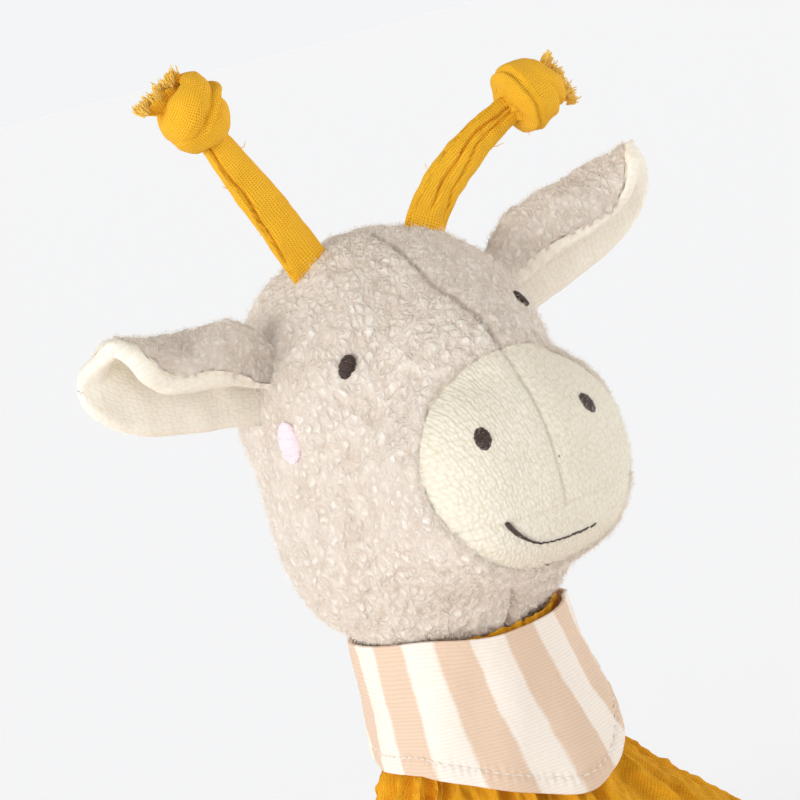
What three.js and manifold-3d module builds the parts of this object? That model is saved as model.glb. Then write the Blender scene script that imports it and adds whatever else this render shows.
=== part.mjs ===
import * as THREE from 'three';
import Module from 'manifold-3d';

// Comfort blanket lovey: a stuffed calf-like head with knotted cloth horns, sitting in the
// gathered middle of a square muslin cloth that stands like a small tent.
// Millimetres, +Z up, the face looks along -Y, floor at z = 0.

// Places on the head are heights above the neck line, which stands this far above the floor.
const neckHeight = 105;

// Head: a round skull, a ball-shaped jaw that sits in the neck cup, the cheeks between them,
// the bridge of the nose and a blunt muzzle. Each form has a centre (x, y, z above the neck
// line), radii and a bluntness.
const skullRadius = 34.8;
const skullCentreUp = 55;
const jawRadius = 34;
const jawSink = 5;
const jawCentreUp = jawRadius - jawSink;
const skull = { centre: [0, 1, skullCentreUp], radii: [skullRadius, skullRadius, skullRadius], blunt: 2 };
const jaw = { centre: [0, 0, jawCentreUp], radii: [jawRadius, jawRadius, jawRadius], blunt: 2 };
const cheeks = { centre: [0, 0.5, 42], radii: [32.5, 32.5, 24], blunt: 2 };
const bridge = { centre: [0, -24, 54], radii: [20, 26, 21], blunt: 2 };
const muzzle = { centre: [0, -32, 37], radii: [26.5, 25.5, 23.5], blunt: 2.6 };
const headForms = [skull, jaw, cheeks, bridge, muzzle];
const blendPower = 18;
const headCoreY = -14;
const headCoreUp = 38;

const skinThickness = 3;
const seamGap = 0.3;
const restGap = 0.3;
const headColumns = 44;
const headRows = 26;
const stuffingColumns = 24;
const stuffingRows = 14;

// The muzzle panels are cut out by an oval that runs straight back from the face.
const muzzleSeamHalfWidth = 24.2;
const muzzleSeamHalfHeight = 22.5;
const muzzleSeamUp = 39.3;
const muzzleSeamDepth = 40;
const stuffingSplitDepth = 22;
const lipSeamUp = 29.5;

// Stitched details: where they sit (x, height above the neck) and their size on the surface.
const eyeX = 22.5;
const eyeUp = 66.5;
const eyeTilt = 1.1;
const eyeWidth = 3.9;
const eyeHeight = 5.4;
const nostrilX = 12.4;
const nostrilUp = 47.2;
const nostrilWidth = 4.4;
const nostrilHeight = 4.8;
const cheekX = 32.3;
const cheekUp = 52.1;
const cheekWidth = 7.5;
const cheekHeight = 9.2;
const stitchThickness = 0.7;
const patchThickness = 0.5;
const padRim = 0.55;
const padCrown = 0.7;
const mouthRight = 12.6;
const mouthLeft = 8;
const mouthUp = 22.5;
const mouthRise = 6.2;
const mouthThread = 1.1;
const mouthStand = 0.35;

// Ears: leaves of two layers whose straight root lies along the side of the skull. Seen in
// section the cloth stands up, rolls forward over the top and hangs down as a flap.
const earRootY = -1;
const earRootLength = 19;
const rightEarRootUp = skullCentreUp + 1.8;
const leftEarRootUp = skullCentreUp + 5.5;
const earRootStand = 0.85;
const earRootPinch = 0.4;
const earLength = 40.5;
const earSweep = 5;
const rightEarRise = 8.5;
const leftEarRise = 14;
const earHeight = 21.5;
const earRootHeight = 19;
const earRollRadius = 4.7;
const earRootRollRadius = 2.8;
const earRollTurn = 188;
const earTipRollTurn = 20;
const earFlap = 6.5;
const earRootFlap = 8;
const earLayer = 1.8;
const earLayerGap = 0.3;

// Horns: folded cloth strips, each tied into a knot with a frayed end.
const hornRootX = 14.8;
const hornRootY = -4.2;
const hornWidth = 9.2;
const hornNeckWidth = 6;
const hornThickness = 4;
const hornRootRadius = 2.3;
const hornRootWidth = 8;
const hornRightKnot = [-33, -6, 122.6];
const hornLeftKnot = [46.8, -6, 108.4];
const hornRightBow = 0.5;
const hornLeftBow = -9;
const foldRelief = 0.22;
const foldTwist = 2.2;
const knotRadius = 7.8;
const knotBand = 3.8;
const knotBandRadius = 2.3;
const knotDepth = 6.4;
const knotHeight = 7;
const wrapRadius = 5.9;
const highWrapTilt = 24;
const highWrapUp = 1.6;
const lowWrapTilt = -38;
const lowWrapUp = -2.2;
const frayRoot = 2.9;
const frayLength = 3.2;
const frayWidth = 13;
const frayThickness = 3;
const frayRaggedness = 0.05;
const frayShift = 3.2;

// Neck: a pleated gather shaped like a cup, on a stuffed stem.
const cupClearance = 0.3;
const gatherTopUp = 1.2;
const gatherBottomUp = -8;
const cupRimRadius = Math.sqrt((jawRadius + cupClearance) ** 2 - (jawCentreUp - gatherTopUp) ** 2);
const gatherWall = 1.4;
const gatherRadius = cupRimRadius + gatherWall;
const gatherPleat = 0.8;
const gatherPleats = 22;
const gatherTuck = 9;
const stemRadius = 8;
const stemLength = 26;

// Neckerchief: a cloth band with its point at the front, open at the back and tied there.
const scarfStand = 0.8;
const scarfTopRadius = gatherRadius + gatherPleat + scarfStand;
const scarfFlare = 1;
const scarfFrontFlare = 6;
const scarfFlareTurn = -10;
const scarfFlareStart = 60;
const scarfFlareEnd = 130;
const scarfTopUp = 0.8;
const scarfSideDrop = 24;
const scarfBackDrop = 18;
const scarfPointDrop = 37;
const scarfPointAngle = 8;
const scarfPointSpread = 62;
const scarfThickness = 1.6;
const scarfBackOpening = 14;
const scarfWave = 0.5;
const scarfWaveStart = 10;
const scarfWaveEnd = 30;
const tieHalfWidth = 7;
const tieHalfHeight = 6;
const tieHalfDepth = 4.5;
const tieUp = -8;
const tieStand = 1;

// Blanket: a square cloth draped from the neck to the floor, its folds fanning out.
const blanketSide = 280;
const blanketThickness = 1.8;
const blanketHoleRadius = 9;
const blanketShoulderUp = -9.3;
const blanketFolds = 7;
const foldCrestAngle = -28;
const foldDepth = 15;
const foldStart = 44;
const drapeAngleTop = 24;
const drapeAngle = 34;
const drapeSpreadStart = 34;
const drapeSpreadEnd = 66;
const drapeTurnLength = 26;
const shoulderTurnStart = 8;
const shoulderTurnLength = 14;
const floorCutDepth = 0.5;
const hemRadius = 1.4;
const hemStand = 0.5;
const hemSink = 0.3;
const hemSides = 6;
const blanketColumns = 68;
const blanketRows = 8;
const blanketDrapeRows = 6;
const cornerSoftness = 10;

const fleeceBeige = '#cdc3b8';
const velourCream = '#efebdd';
const gauzeMustard = '#e5a823';
const threadBrown = '#3f312c';
const patchPink = '#f3dde4';
const jerseyStripe = '#eedccb';
const stuffingWhite = '#f4f2ee';

const wasm = await Module();
wasm.setup();
const { Manifold, Mesh } = wasm;

const degrees = Math.PI / 180;

function smooth(from, to, value) {
  const t = Math.min(1, Math.max(0, (value - from) / (to - from)));
  return t * t * (3 - 2 * t);
}

// A body from loose triangles: turned inside out when its volume comes out negative.
function bodyFrom(points, triangles) {
  let volume = 0;
  for (const [a, b, c] of triangles) {
    const p = points[a];
    const q = points[b];
    const r = points[c];
    volume += p[0] * (q[1] * r[2] - q[2] * r[1]);
    volume += p[1] * (q[2] * r[0] - q[0] * r[2]);
    volume += p[2] * (q[0] * r[1] - q[1] * r[0]);
  }
  const order = volume < 0 ? triangles.map(([a, b, c]) => [a, c, b]) : triangles;
  return new Manifold(new Mesh({
    numProp: 3,
    vertProperties: new Float32Array(points.flat()),
    triVerts: new Uint32Array(order.flat()),
  }));
}

// Closed body between two faces of one grid; the grid may wrap round in its first direction.
function slab(outer, inner, columns, rows, wraps) {
  const points = [];
  const across = wraps ? columns : columns + 1;
  const layer = across * (rows + 1);
  for (const face of [outer, inner]) {
    for (let i = 0; i < across; i += 1) {
      for (let j = 0; j <= rows; j += 1) {
        points.push(face(i / columns, j / rows));
      }
    }
  }
  const index = (side, i, j) => side * layer + (i % across) * (rows + 1) + j;
  const triangles = [];
  const quad = (a, b, c, d) => triangles.push([a, b, c], [a, c, d]);
  for (let i = 0; i < columns; i += 1) {
    for (let j = 0; j < rows; j += 1) {
      quad(index(0, i, j), index(0, i + 1, j), index(0, i + 1, j + 1), index(0, i, j + 1));
      quad(index(1, i, j), index(1, i, j + 1), index(1, i + 1, j + 1), index(1, i + 1, j));
    }
    quad(index(0, i, 0), index(1, i, 0), index(1, i + 1, 0), index(0, i + 1, 0));
    quad(index(0, i, rows), index(0, i + 1, rows), index(1, i + 1, rows), index(1, i, rows));
  }
  if (!wraps) {
    for (let j = 0; j < rows; j += 1) {
      quad(index(0, 0, j), index(0, 0, j + 1), index(1, 0, j + 1), index(1, 0, j));
      quad(index(0, columns, j), index(1, columns, j), index(1, columns, j + 1), index(0, columns, j + 1));
    }
  }
  return bodyFrom(points, triangles);
}

// Closed body of rings, each ring a function of its share of the length and of the turn.
function rings(ringPoint, firstTip, lastTip, lengthSteps, turnSteps) {
  const points = [];
  for (let i = 0; i <= lengthSteps; i += 1) {
    for (let j = 0; j < turnSteps; j += 1) {
      points.push(ringPoint(i / lengthSteps, 2 * Math.PI * j / turnSteps));
    }
  }
  const first = points.push(firstTip) - 1;
  const last = points.push(lastTip) - 1;
  const index = (i, j) => i * turnSteps + (j % turnSteps);
  const triangles = [];
  for (let j = 0; j < turnSteps; j += 1) {
    triangles.push([first, index(0, j + 1), index(0, j)]);
    triangles.push([last, index(lengthSteps, j), index(lengthSteps, j + 1)]);
    for (let i = 0; i < lengthSteps; i += 1) {
      triangles.push([index(i, j), index(i, j + 1), index(i + 1, j + 1)]);
      triangles.push([index(i, j), index(i + 1, j + 1), index(i + 1, j)]);
    }
  }
  return bodyFrom(points, triangles);
}

// Closed ring-shaped body: the grid wraps in both directions.
function torusBody(point, turns, sides) {
  const points = [];
  for (let i = 0; i < turns; i += 1) {
    for (let j = 0; j < sides; j += 1) {
      points.push(point(i / turns, j / sides));
    }
  }
  const index = (i, j) => (i % turns) * sides + (j % sides);
  const triangles = [];
  for (let i = 0; i < turns; i += 1) {
    for (let j = 0; j < sides; j += 1) {
      triangles.push([index(i, j), index(i + 1, j), index(i + 1, j + 1)]);
      triangles.push([index(i, j), index(i + 1, j + 1), index(i, j + 1)]);
    }
  }
  return bodyFrom(points, triangles);
}

function onFloor([x, y, up]) {
  return [x, y, up + neckHeight];
}

// How far a point lies from the middle of the blended head forms: 1 on the surface.
function headField(x, y, up) {
  let sum = 0;
  for (const form of headForms) {
    const dx = Math.abs(x - form.centre[0]) / form.radii[0];
    const dy = Math.abs(y - form.centre[1]) / form.radii[1];
    const dz = Math.abs(up - form.centre[2]) / form.radii[2];
    const power = form.blunt;
    const reach = (dx ** power + dy ** power + dz ** power) ** (1 / power);
    sum += Math.max(reach, 0.05) ** -blendPower;
  }
  return sum;
}

// Distance from a point inside the head to the skin in one direction.
function reachToSkin(origin, direction) {
  const at = (reach) => origin.map((value, axis) => value + direction[axis] * reach);
  let near = 0;
  let far = 1;
  while (headField(...at(far)) > 1) {
    far *= 2;
  }
  for (let step = 0; step < 40; step += 1) {
    const middle = (near + far) / 2;
    if (headField(...at(middle)) > 1) {
      near = middle;
    } else {
      far = middle;
    }
  }
  return near;
}

function headPoint(direction, lift) {
  const core = [0, headCoreY, headCoreUp];
  const reach = reachToSkin(core, direction) + lift;
  return core.map((value, axis) => value + direction[axis] * reach);
}

// Skin point straight ahead of a place given by its x and height, seen from the front.
function facePoint(x, up) {
  return [x, headCoreY - reachToSkin([x, headCoreY, up], [0, -1, 0]), up];
}

// Height of the skin above a place on the crown.
function headTopAt(x, y) {
  return headCoreUp + reachToSkin([x, y, headCoreUp], [0, 0, 1]);
}

// Skin point on the side of the skull, in the line of the ear root.
function sidePoint(up) {
  return new THREE.Vector3(reachToSkin([0, earRootY, up], [1, 0, 0]), earRootY, up);
}

function headBody(lift, columns, rows) {
  const direction = (share, turn) => {
    const polar = Math.PI * (0.5 + share * (rows - 1)) / rows;
    return [Math.sin(polar) * Math.cos(turn), Math.sin(polar) * Math.sin(turn), Math.cos(polar)];
  };
  const top = onFloor(headPoint([0, 0, 1], lift));
  const bottom = onFloor(headPoint([0, 0, -1], lift));
  return rings((s, t) => onFloor(headPoint(direction(s, t), lift)), top, bottom, rows - 1, columns);
}

function box(x0, x1, y0, y1, z0, z1) {
  return Manifold.cube([x1 - x0, y1 - y0, z1 - z0], false).translate([x0, y0, z0]);
}

// The oval that cuts the muzzle panels out, grown or shrunk by half the seam gap.
function muzzleOval(grow) {
  const half = [muzzleSeamHalfWidth + grow, muzzleSeamHalfHeight + grow];
  const length = 2 * neckHeight;
  const oval = (share, turn) => [
    half[0] * Math.cos(turn),
    -muzzleSeamDepth - share * length,
    neckHeight + muzzleSeamUp + half[1] * Math.sin(turn),
  ];
  const tip = (share) => [0, -muzzleSeamDepth - share * length, neckHeight + muzzleSeamUp];
  return rings(oval, tip(0), tip(1), 1, 48);
}

function headPieces() {
  const outer = headBody(0, headColumns, headRows);
  const inner = headBody(-skinThickness, stuffingColumns, stuffingRows);
  const core = headBody(-skinThickness - 2 * restGap, stuffingColumns, stuffingRows);
  const skin = outer.subtract(inner);
  const half = seamGap / 2;
  const far = 2 * neckHeight;
  const right = box(-far, -half, -far, far, 0, 2 * far);
  const left = box(half, far, -far, far, 0, 2 * far);
  const aboveLip = box(-far, far, -far, far, neckHeight + lipSeamUp + half, 2 * far);
  const belowLip = box(-far, far, -far, far, 0, neckHeight + lipSeamUp - half);
  const fleece = skin.subtract(muzzleOval(half));
  const velour = skin.intersect(muzzleOval(-half));
  const frontFill = box(-far, far, -far, -stuffingSplitDepth - half, 0, 2 * far);
  const backFill = box(-far, far, -stuffingSplitDepth + half, far, 0, 2 * far);
  return {
    head_panel_right: fleece.intersect(right),
    head_panel_left: fleece.intersect(left),
    muzzle_panel_right: velour.intersect(right).intersect(aboveLip),
    muzzle_panel_left: velour.intersect(left).intersect(aboveLip),
    muzzle_chin_panel: velour.intersect(belowLip),
    head_stuffing: core.intersect(backFill),
    muzzle_stuffing: core.intersect(frontFill),
  };
}

// Oval pad lying on the skin, its middle given as seen from the front.
function pad(x, up, width, height, thickness) {
  const middle = facePoint(x, up);
  const core = new THREE.Vector3(0, headCoreY, headCoreUp);
  const outward = new THREE.Vector3(...middle).sub(core);
  const reach = outward.length();
  outward.normalize();
  const side = new THREE.Vector3(0, 0, 1).cross(outward).normalize();
  const rise = outward.clone().cross(side);
  const ring = (share, turn, lift) => {
    const direction = outward.clone()
      .addScaledVector(side, share * width / 2 * Math.cos(turn) / reach)
      .addScaledVector(rise, share * height / 2 * Math.sin(turn) / reach)
      .normalize();
    return onFloor(headPoint(direction.toArray(), restGap + lift));
  };
  const levels = [[padRim, 0], [1, 0], [1, padRim * thickness], [padCrown, thickness]];
  const ringPoint = (s, t) => {
    const [share, lift] = levels[Math.round(s * (levels.length - 1))];
    return ring(share, t, lift);
  };
  return rings(ringPoint, ring(0, 0, 0), ring(0, 0, thickness), levels.length - 1, 20);
}

// The mouth: one smiling line of thread across the lower muzzle, its ends turned up.
function mouth() {
  const radius = mouthThread / 2;
  const middle = (s) => {
    const x = (mouthRight + mouthLeft) * s - mouthRight;
    const place = facePoint(x, mouthUp + mouthRise * Math.abs(x / mouthRight) ** 3.5);
    place[1] -= restGap + radius + mouthStand;
    return place;
  };
  const ringPoint = (s, t) => {
    const [x, y, up] = middle(s);
    return onFloor([x, y - radius * Math.cos(t), up + radius * Math.sin(t)]);
  };
  return rings(ringPoint, onFloor(middle(0)), onFloor(middle(1)), 24, 8);
}

// Section of the ear: forward and upward steps at one length of cloth from the lower rim.
function earSection(length, straight, radius, turn) {
  if (length < straight) {
    return [0, length];
  }
  const angle = Math.min(turn, (length - straight) / radius);
  const rest = length - straight - radius * angle;
  return [
    radius * (1 - Math.cos(angle)) + rest * Math.sin(angle),
    straight + radius * Math.sin(angle) + rest * Math.cos(angle),
  ];
}

// Ear surface: s runs from the root to the tip, t from the lower rim to the rim of the flap.
function earSurface(side) {
  const rootUp = side < 0 ? rightEarRootUp : leftEarRootUp;
  const earRise = side < 0 ? rightEarRise : leftEarRise;
  const low = sidePoint(rootUp);
  const high = sidePoint(rootUp + earRootLength);
  const bulge = sidePoint(rootUp + earRootLength / 2);
  const rootRise = high.clone().sub(low).normalize();
  const forward = new THREE.Vector3(0, -1, 0);
  const away = rootRise.clone().cross(forward).normalize();
  if (away.x < 0) {
    away.negate();
  }
  const rootMiddle = bulge.clone().addScaledVector(away, earRootStand);
  const out = new THREE.Vector3(earLength, -earSweep, earRise);
  return (s, t) => {
    const open = smooth(0, 0.4, s);
    const taper = Math.sqrt(Math.max(0, 1 - Math.max(0, (s - 0.58) / 0.425) ** 2));
    const radius = earRootRollRadius + (earRollRadius - earRootRollRadius) * open;
    const turn = (earRollTurn + (earTipRollTurn - earRollTurn) * smooth(0.6, 1, s)) * degrees;
    const height = (earRootHeight + (earHeight - earRootHeight) * open) * taper;
    const flap = (earRootFlap + (earFlap - earRootFlap) * open) * taper;
    const crown = radius * Math.sin(Math.min(turn, Math.PI / 2)) + flap * Math.max(0, Math.cos(turn));
    const straight = height - crown;
    const length = (straight + radius * turn + flap) * (t + 1) / 2;
    const [ahead, up] = earSection(length, straight, radius, turn);
    const rise = rootRise.clone().lerp(new THREE.Vector3(0, 0, 1), smooth(0, 0.45, s)).normalize();
    const place = rootMiddle.clone()
      .addScaledVector(out, s)
      .addScaledVector(rise, up - height / 2)
      .addScaledVector(forward, ahead);
    return new THREE.Vector3(place.x * side, place.y, place.z);
  };
}

// One layer of an ear, from one distance off the middle surface to another.
function earLayerBody(side, from, to) {
  const surface = earSurface(side);
  const step = 0.01;
  const face = (offset) => (u, v) => {
    const s = 0.998 * u ** 0.85;
    const t = 2 * v - 1;
    const along = surface(s, t).sub(surface(s - step, t));
    const across = surface(s, t + step).sub(surface(s, t - step));
    const normal = along.cross(across).normalize().multiplyScalar(side);
    const pinch = earRootPinch + (1 - earRootPinch) * smooth(0, 0.2, s);
    return onFloor(surface(s, t).addScaledVector(normal, offset * pinch).toArray());
  };
  return slab(face(to), face(from), 10, 14, false);
}

function hornPath(knot, bow, side) {
  const root = new THREE.Vector3(side * hornRootX, hornRootY, 0);
  root.z = headTopAt(root.x, root.y);
  const centre = new THREE.Vector3(0, hornRootY, skull.centre[2]);
  const outward = root.clone().sub(centre).normalize();
  root.addScaledVector(outward, hornRootRadius + restGap);
  const end = new THREE.Vector3(...knot);
  const middle = root.clone().add(end).multiplyScalar(0.5);
  middle.x += bow;
  return new THREE.QuadraticBezierCurve3(root, middle, end);
}

function hornPieces(knot, bow, side) {
  const path = hornPath(knot, bow, side);
  const start = path.getPoint(0);
  const end = path.getPoint(1);
  const ringPoint = (s, t) => {
    const middle = path.getPoint(s);
    const along = path.getTangent(s);
    const back = new THREE.Vector3(0, 1, 0);
    const across = back.clone().cross(along).normalize();
    const width = hornWidth + (hornNeckWidth - hornWidth) * smooth(0.35, 1, s);
    const fold = 1 + foldRelief * Math.cos(3 * t + foldTwist * s) * smooth(0, 0.2, s);
    const point = middle
      .addScaledVector(across, width / 2 * Math.cos(t))
      .addScaledVector(back, hornThickness / 2 * fold * Math.sin(t));
    return onFloor(point.toArray());
  };
  const first = path.getTangent(0);
  const lean = Math.atan2(first.x, first.z) / degrees;
  const root = Manifold.cylinder(hornRootWidth, hornRootRadius, hornRootRadius, 20, true)
    .rotate([0, 90 + lean, 0])
    .translate(onFloor(start.toArray()));
  const strip = rings(ringPoint, onFloor(start.toArray()), onFloor(end.toArray()), 12, 14).add(root);
  const along = path.getTangent(1);
  const turn = Math.atan2(along.x, along.z) / degrees;
  const place = (body) => body.rotate([0, turn, 0]).translate(onFloor(end.toArray()));
  const knotBody = place(knotShape(0));
  const room = place(knotShape(restGap));
  const frayEnd = knotRadius + frayLength;
  const frayPoint = (s, t) => {
    const width = hornNeckWidth + (frayWidth - hornNeckWidth) * s;
    const ragged = 1 + frayRaggedness * Math.sin(7 * t) * s;
    return [
      width / 2 * Math.cos(t) * ragged + side * frayShift * s,
      frayThickness / 2 * Math.sin(t),
      frayRoot + s * (frayEnd - frayRoot),
    ];
  };
  const fray = place(rings(frayPoint, [0, 0, frayRoot], [side * frayShift, 0, frayEnd], 4, 28));
  return {
    strip: strip.subtract(room),
    knot: knotBody,
    fray: fray.subtract(room),
  };
}

// Closed round profile of one wrap of the knot.
function bandProfile(grow) {
  const points = [];
  const sides = 8;
  for (let i = 0; i < sides; i += 1) {
    const angle = 2 * Math.PI * i / sides;
    const radius = wrapRadius + (knotBandRadius + grow) * Math.cos(angle);
    points.push([radius, (knotBand + grow) * Math.sin(angle)]);
  }
  return points;
}

// The knot: a round heart with two crossing wraps.
function knotShape(grow) {
  const heart = Manifold.sphere(1, 16).scale([knotRadius + grow, knotDepth + grow, knotHeight + grow]);
  const wrap = (tilt, shift) => Manifold.revolve([bandProfile(grow)], 20)
    .rotate([0, tilt, 0])
    .translate([0, 0, shift]);
  return heart.add(wrap(highWrapTilt, highWrapUp)).add(wrap(lowWrapTilt, lowWrapUp));
}

// Ball of the jaw with the clearance of the neck cup.
function jawRoom() {
  const radius = jawRadius + cupClearance;
  return Manifold.sphere(radius, 44).translate(onFloor([0, 0, jawCentreUp]));
}

function neckPieces() {
  const gather = (share, turn) => {
    const pleat = gatherPleat * Math.cos(gatherPleats * turn);
    const radius = gatherRadius + pleat - gatherTuck * (1 - share) ** 2;
    const up = gatherBottomUp + share * (gatherTopUp - gatherBottomUp);
    return onFloor([radius * Math.cos(turn), radius * Math.sin(turn), up]);
  };
  const bottom = onFloor([0, 0, gatherBottomUp]);
  const top = onFloor([0, 0, gatherTopUp]);
  const holeRadius = stemRadius + restGap;
  const hole = Manifold.cylinder(2 * stemLength, holeRadius, holeRadius, 32)
    .translate([0, 0, neckHeight - stemLength]);
  const ring = rings(gather, bottom, top, 3, gatherPleats * 4);
  const stem = Manifold.cylinder(stemLength, stemRadius, stemRadius, 32)
    .translate([0, 0, neckHeight - stemLength]);
  return {
    neck_gather: ring.subtract(hole).subtract(jawRoom()),
    neck_stem: stem.subtract(jawRoom()),
  };
}

// How far the lower edge of the neckerchief hangs below the neck, by angle from the front.
function scarfDrop(angle) {
  const fromPoint = Math.abs(angle - scarfPointAngle);
  const point = Math.max(0, 1 - fromPoint / scarfPointSpread) ** 1.2;
  const back = smooth(90, 180, Math.abs(angle));
  return scarfSideDrop + (scarfPointDrop - scarfSideDrop) * point
    + (scarfBackDrop - scarfSideDrop) * back;
}

function scarfFace(lift) {
  return (u, v) => {
    const angle = (u - 0.5) * (360 - scarfBackOpening);
    const turn = (angle - 90) * degrees;
    const drop = scarfDrop(angle) + scarfTopUp;
    const down = v * drop;
    const front = scarfFrontFlare * smooth(scarfFlareEnd, scarfFlareStart, Math.abs(angle + scarfFlareTurn));
    const flare = (scarfFlare + front) * smooth(0, scarfPointDrop, down);
    const radius = scarfTopRadius + flare + lift;
    const wave = scarfWave * Math.sin(5 * turn + 1) * smooth(scarfWaveStart, scarfWaveEnd, down);
    return onFloor([
      (radius + wave) * Math.cos(turn),
      (radius + wave) * Math.sin(turn),
      scarfTopUp - down,
    ]);
  };
}

function scarfPieces() {
  const band = slab(scarfFace(scarfThickness), scarfFace(0), 48, 4, false);
  const tieY = scarfTopRadius + scarfThickness + tieStand;
  const size = [tieHalfWidth, tieHalfDepth, tieHalfHeight];
  const place = (grow) => Manifold.sphere(1, 24)
    .scale(size.map((half) => half + grow))
    .translate(onFloor([0, tieY, tieUp]));
  return {
    neckerchief: band.subtract(place(restGap)),
    neckerchief_tie: place(0),
  };
}

// Distance over the cloth from its middle to its edge, its corners a little rounded.
function clothReach(turn) {
  const half = blanketSide / 2;
  const power = cornerSoftness;
  const spread = Math.abs(Math.cos(turn)) ** power + Math.abs(Math.sin(turn)) ** power;
  return half / spread ** (1 / power);
}

// Slope of the draped cloth below level, by distance over the cloth.
function clothSlope(distance, floorStart) {
  const spread = smooth(drapeSpreadStart, drapeSpreadEnd, distance);
  const steep = (90 - drapeAngleTop - spread * (drapeAngle - drapeAngleTop)) * degrees;
  const down = smooth(shoulderTurnStart, shoulderTurnStart + shoulderTurnLength, distance);
  const level = smooth(floorStart, floorStart + drapeTurnLength, distance);
  return steep * down * (1 - level);
}

// Unfolded drape as a table of radius and height by distance over the cloth.
function drapeLine(floorStart) {
  const line = [];
  let radius = blanketHoleRadius;
  let up = blanketShoulderUp + neckHeight;
  const step = 1;
  for (let distance = blanketHoleRadius; distance <= blanketSide; distance += step) {
    line.push([distance, radius, up]);
    const slope = clothSlope(distance, floorStart);
    radius += Math.cos(slope) * step;
    up -= Math.sin(slope) * step;
  }
  return line;
}

// Where the cloth must start to level out so that its lower face just reaches the floor.
function findFloorStart() {
  let near = blanketHoleRadius;
  let far = blanketSide;
  for (let round = 0; round < 40; round += 1) {
    const middle = (near + far) / 2;
    const line = drapeLine(middle);
    if (line[line.length - 1][2] > blanketThickness - floorCutDepth) {
      near = middle;
    } else {
      far = middle;
    }
  }
  return near;
}

const floorStart = findFloorStart();
const drape = drapeLine(floorStart);

function drapeAt(distance) {
  const place = Math.min(drape.length - 2, Math.max(0, distance - blanketHoleRadius));
  const low = Math.floor(place);
  const share = place - low;
  const from = drape[low];
  const to = drape[low + 1];
  return [from[1] + share * (to[1] - from[1]), from[2] + share * (to[2] - from[2])];
}

// A point of the cloth's upper face with its folds.
function clothPoint(turn, share) {
  const reach = clothReach(turn);
  const landed = floorStart + 0.9 * drapeTurnLength;
  const drapeShare = blanketDrapeRows / blanketRows;
  const hung = blanketHoleRadius + share / drapeShare * (landed - blanketHoleRadius);
  const lying = landed + (share - drapeShare) / (1 - drapeShare) * (reach - landed);
  const distance = share < drapeShare ? hung : lying;
  const [radius, up] = drapeAt(distance);
  const wave = Math.cos(blanketFolds * (turn - foldCrestAngle * degrees));
  const grown = smooth(foldStart, floorStart, distance);
  const settled = 1 - 0.75 * smooth(floorStart, floorStart + 2 * drapeTurnLength, distance);
  const folded = radius + foldDepth * wave * grown * settled;
  return new THREE.Vector3(folded * Math.cos(turn), folded * Math.sin(turn), up);
}

function clothFace(lift) {
  const step = 0.004;
  return (u, share) => {
    const turn = 2 * Math.PI * u;
    const along = clothPoint(turn, share + step).sub(clothPoint(turn, share - step));
    const across = clothPoint(turn + step, share).sub(clothPoint(turn - step, share));
    const normal = across.cross(along).normalize();
    if (normal.z < 0) {
      normal.negate();
    }
    return clothPoint(turn, share).addScaledVector(normal, lift).toArray();
  };
}

function blanketPieces() {
  const far = blanketSide;
  const above = box(-far, far, -far, far, 0, 2 * far);
  const sheet = slab(clothFace(0), clothFace(-blanketThickness), blanketColumns, blanketRows, true);
  const hemRing = (u, v) => {
    const turn = 2 * Math.PI * u;
    const edge = clothPoint(turn, 1);
    const out = new THREE.Vector3(Math.cos(turn), Math.sin(turn), 0);
    edge.addScaledVector(out, hemRadius + hemStand);
    edge.z = hemRadius;
    const angle = 2 * Math.PI * v;
    edge.addScaledVector(out, hemRadius * Math.cos(angle));
    edge.z += hemRadius * Math.sin(angle) - hemSink;
    return edge.toArray();
  };
  const hem = torusBody(hemRing, blanketColumns, hemSides);
  return {
    blanket: sheet.intersect(above),
    blanket_hem: hem.intersect(above),
  };
}

function addNode(group, name, body, color, roughness) {
  const mesh = body.getMesh();
  const stride = mesh.numProp;
  const position = new Float32Array(mesh.vertProperties.length / stride * 3);
  for (let i = 0; i < position.length / 3; i += 1) {
    position[3 * i] = mesh.vertProperties[i * stride];
    position[3 * i + 1] = mesh.vertProperties[i * stride + 1];
    position[3 * i + 2] = mesh.vertProperties[i * stride + 2];
  }
  const geometry = new THREE.BufferGeometry();
  geometry.setAttribute('position', new THREE.BufferAttribute(position, 3));
  geometry.setIndex(new THREE.BufferAttribute(new Uint32Array(mesh.triVerts), 1));
  geometry.computeVertexNormals();
  const material = new THREE.MeshStandardMaterial({ color, roughness, metalness: 0 });
  const node = new THREE.Mesh(geometry, material);
  node.name = name;
  group.add(node);
}

const group = new THREE.Group();
group.name = 'comfort_blanket_lovey';

const head = headPieces();
for (const [name, body] of Object.entries(head)) {
  const filled = name.endsWith('stuffing');
  const cream = name.startsWith('muzzle');
  addNode(group, name, body, filled ? stuffingWhite : cream ? velourCream : fleeceBeige, 0.95);
}

for (const [sideName, side] of [['right', -1], ['left', 1]]) {
  const half = earLayerGap / 2;
  addNode(group, `ear_outer_${sideName}`, earLayerBody(side, -half - earLayer, -half), fleeceBeige, 0.95);
  addNode(group, `ear_inner_${sideName}`, earLayerBody(side, half, half + earLayer), velourCream, 0.95);
  addNode(
    group,
    `eye_${sideName}`,
    pad(side * eyeX, eyeUp + side * eyeTilt, eyeWidth, eyeHeight, stitchThickness),
    threadBrown,
    0.5,
  );
  addNode(
    group,
    `nostril_${sideName}`,
    pad(side * nostrilX, nostrilUp, nostrilWidth, nostrilHeight, stitchThickness),
    threadBrown,
    0.5,
  );
  addNode(
    group,
    `cheek_patch_${sideName}`,
    pad(side * cheekX, cheekUp, cheekWidth, cheekHeight, patchThickness),
    patchPink,
    0.9,
  );
}
addNode(group, 'mouth', mouth(), threadBrown, 0.5);

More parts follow.
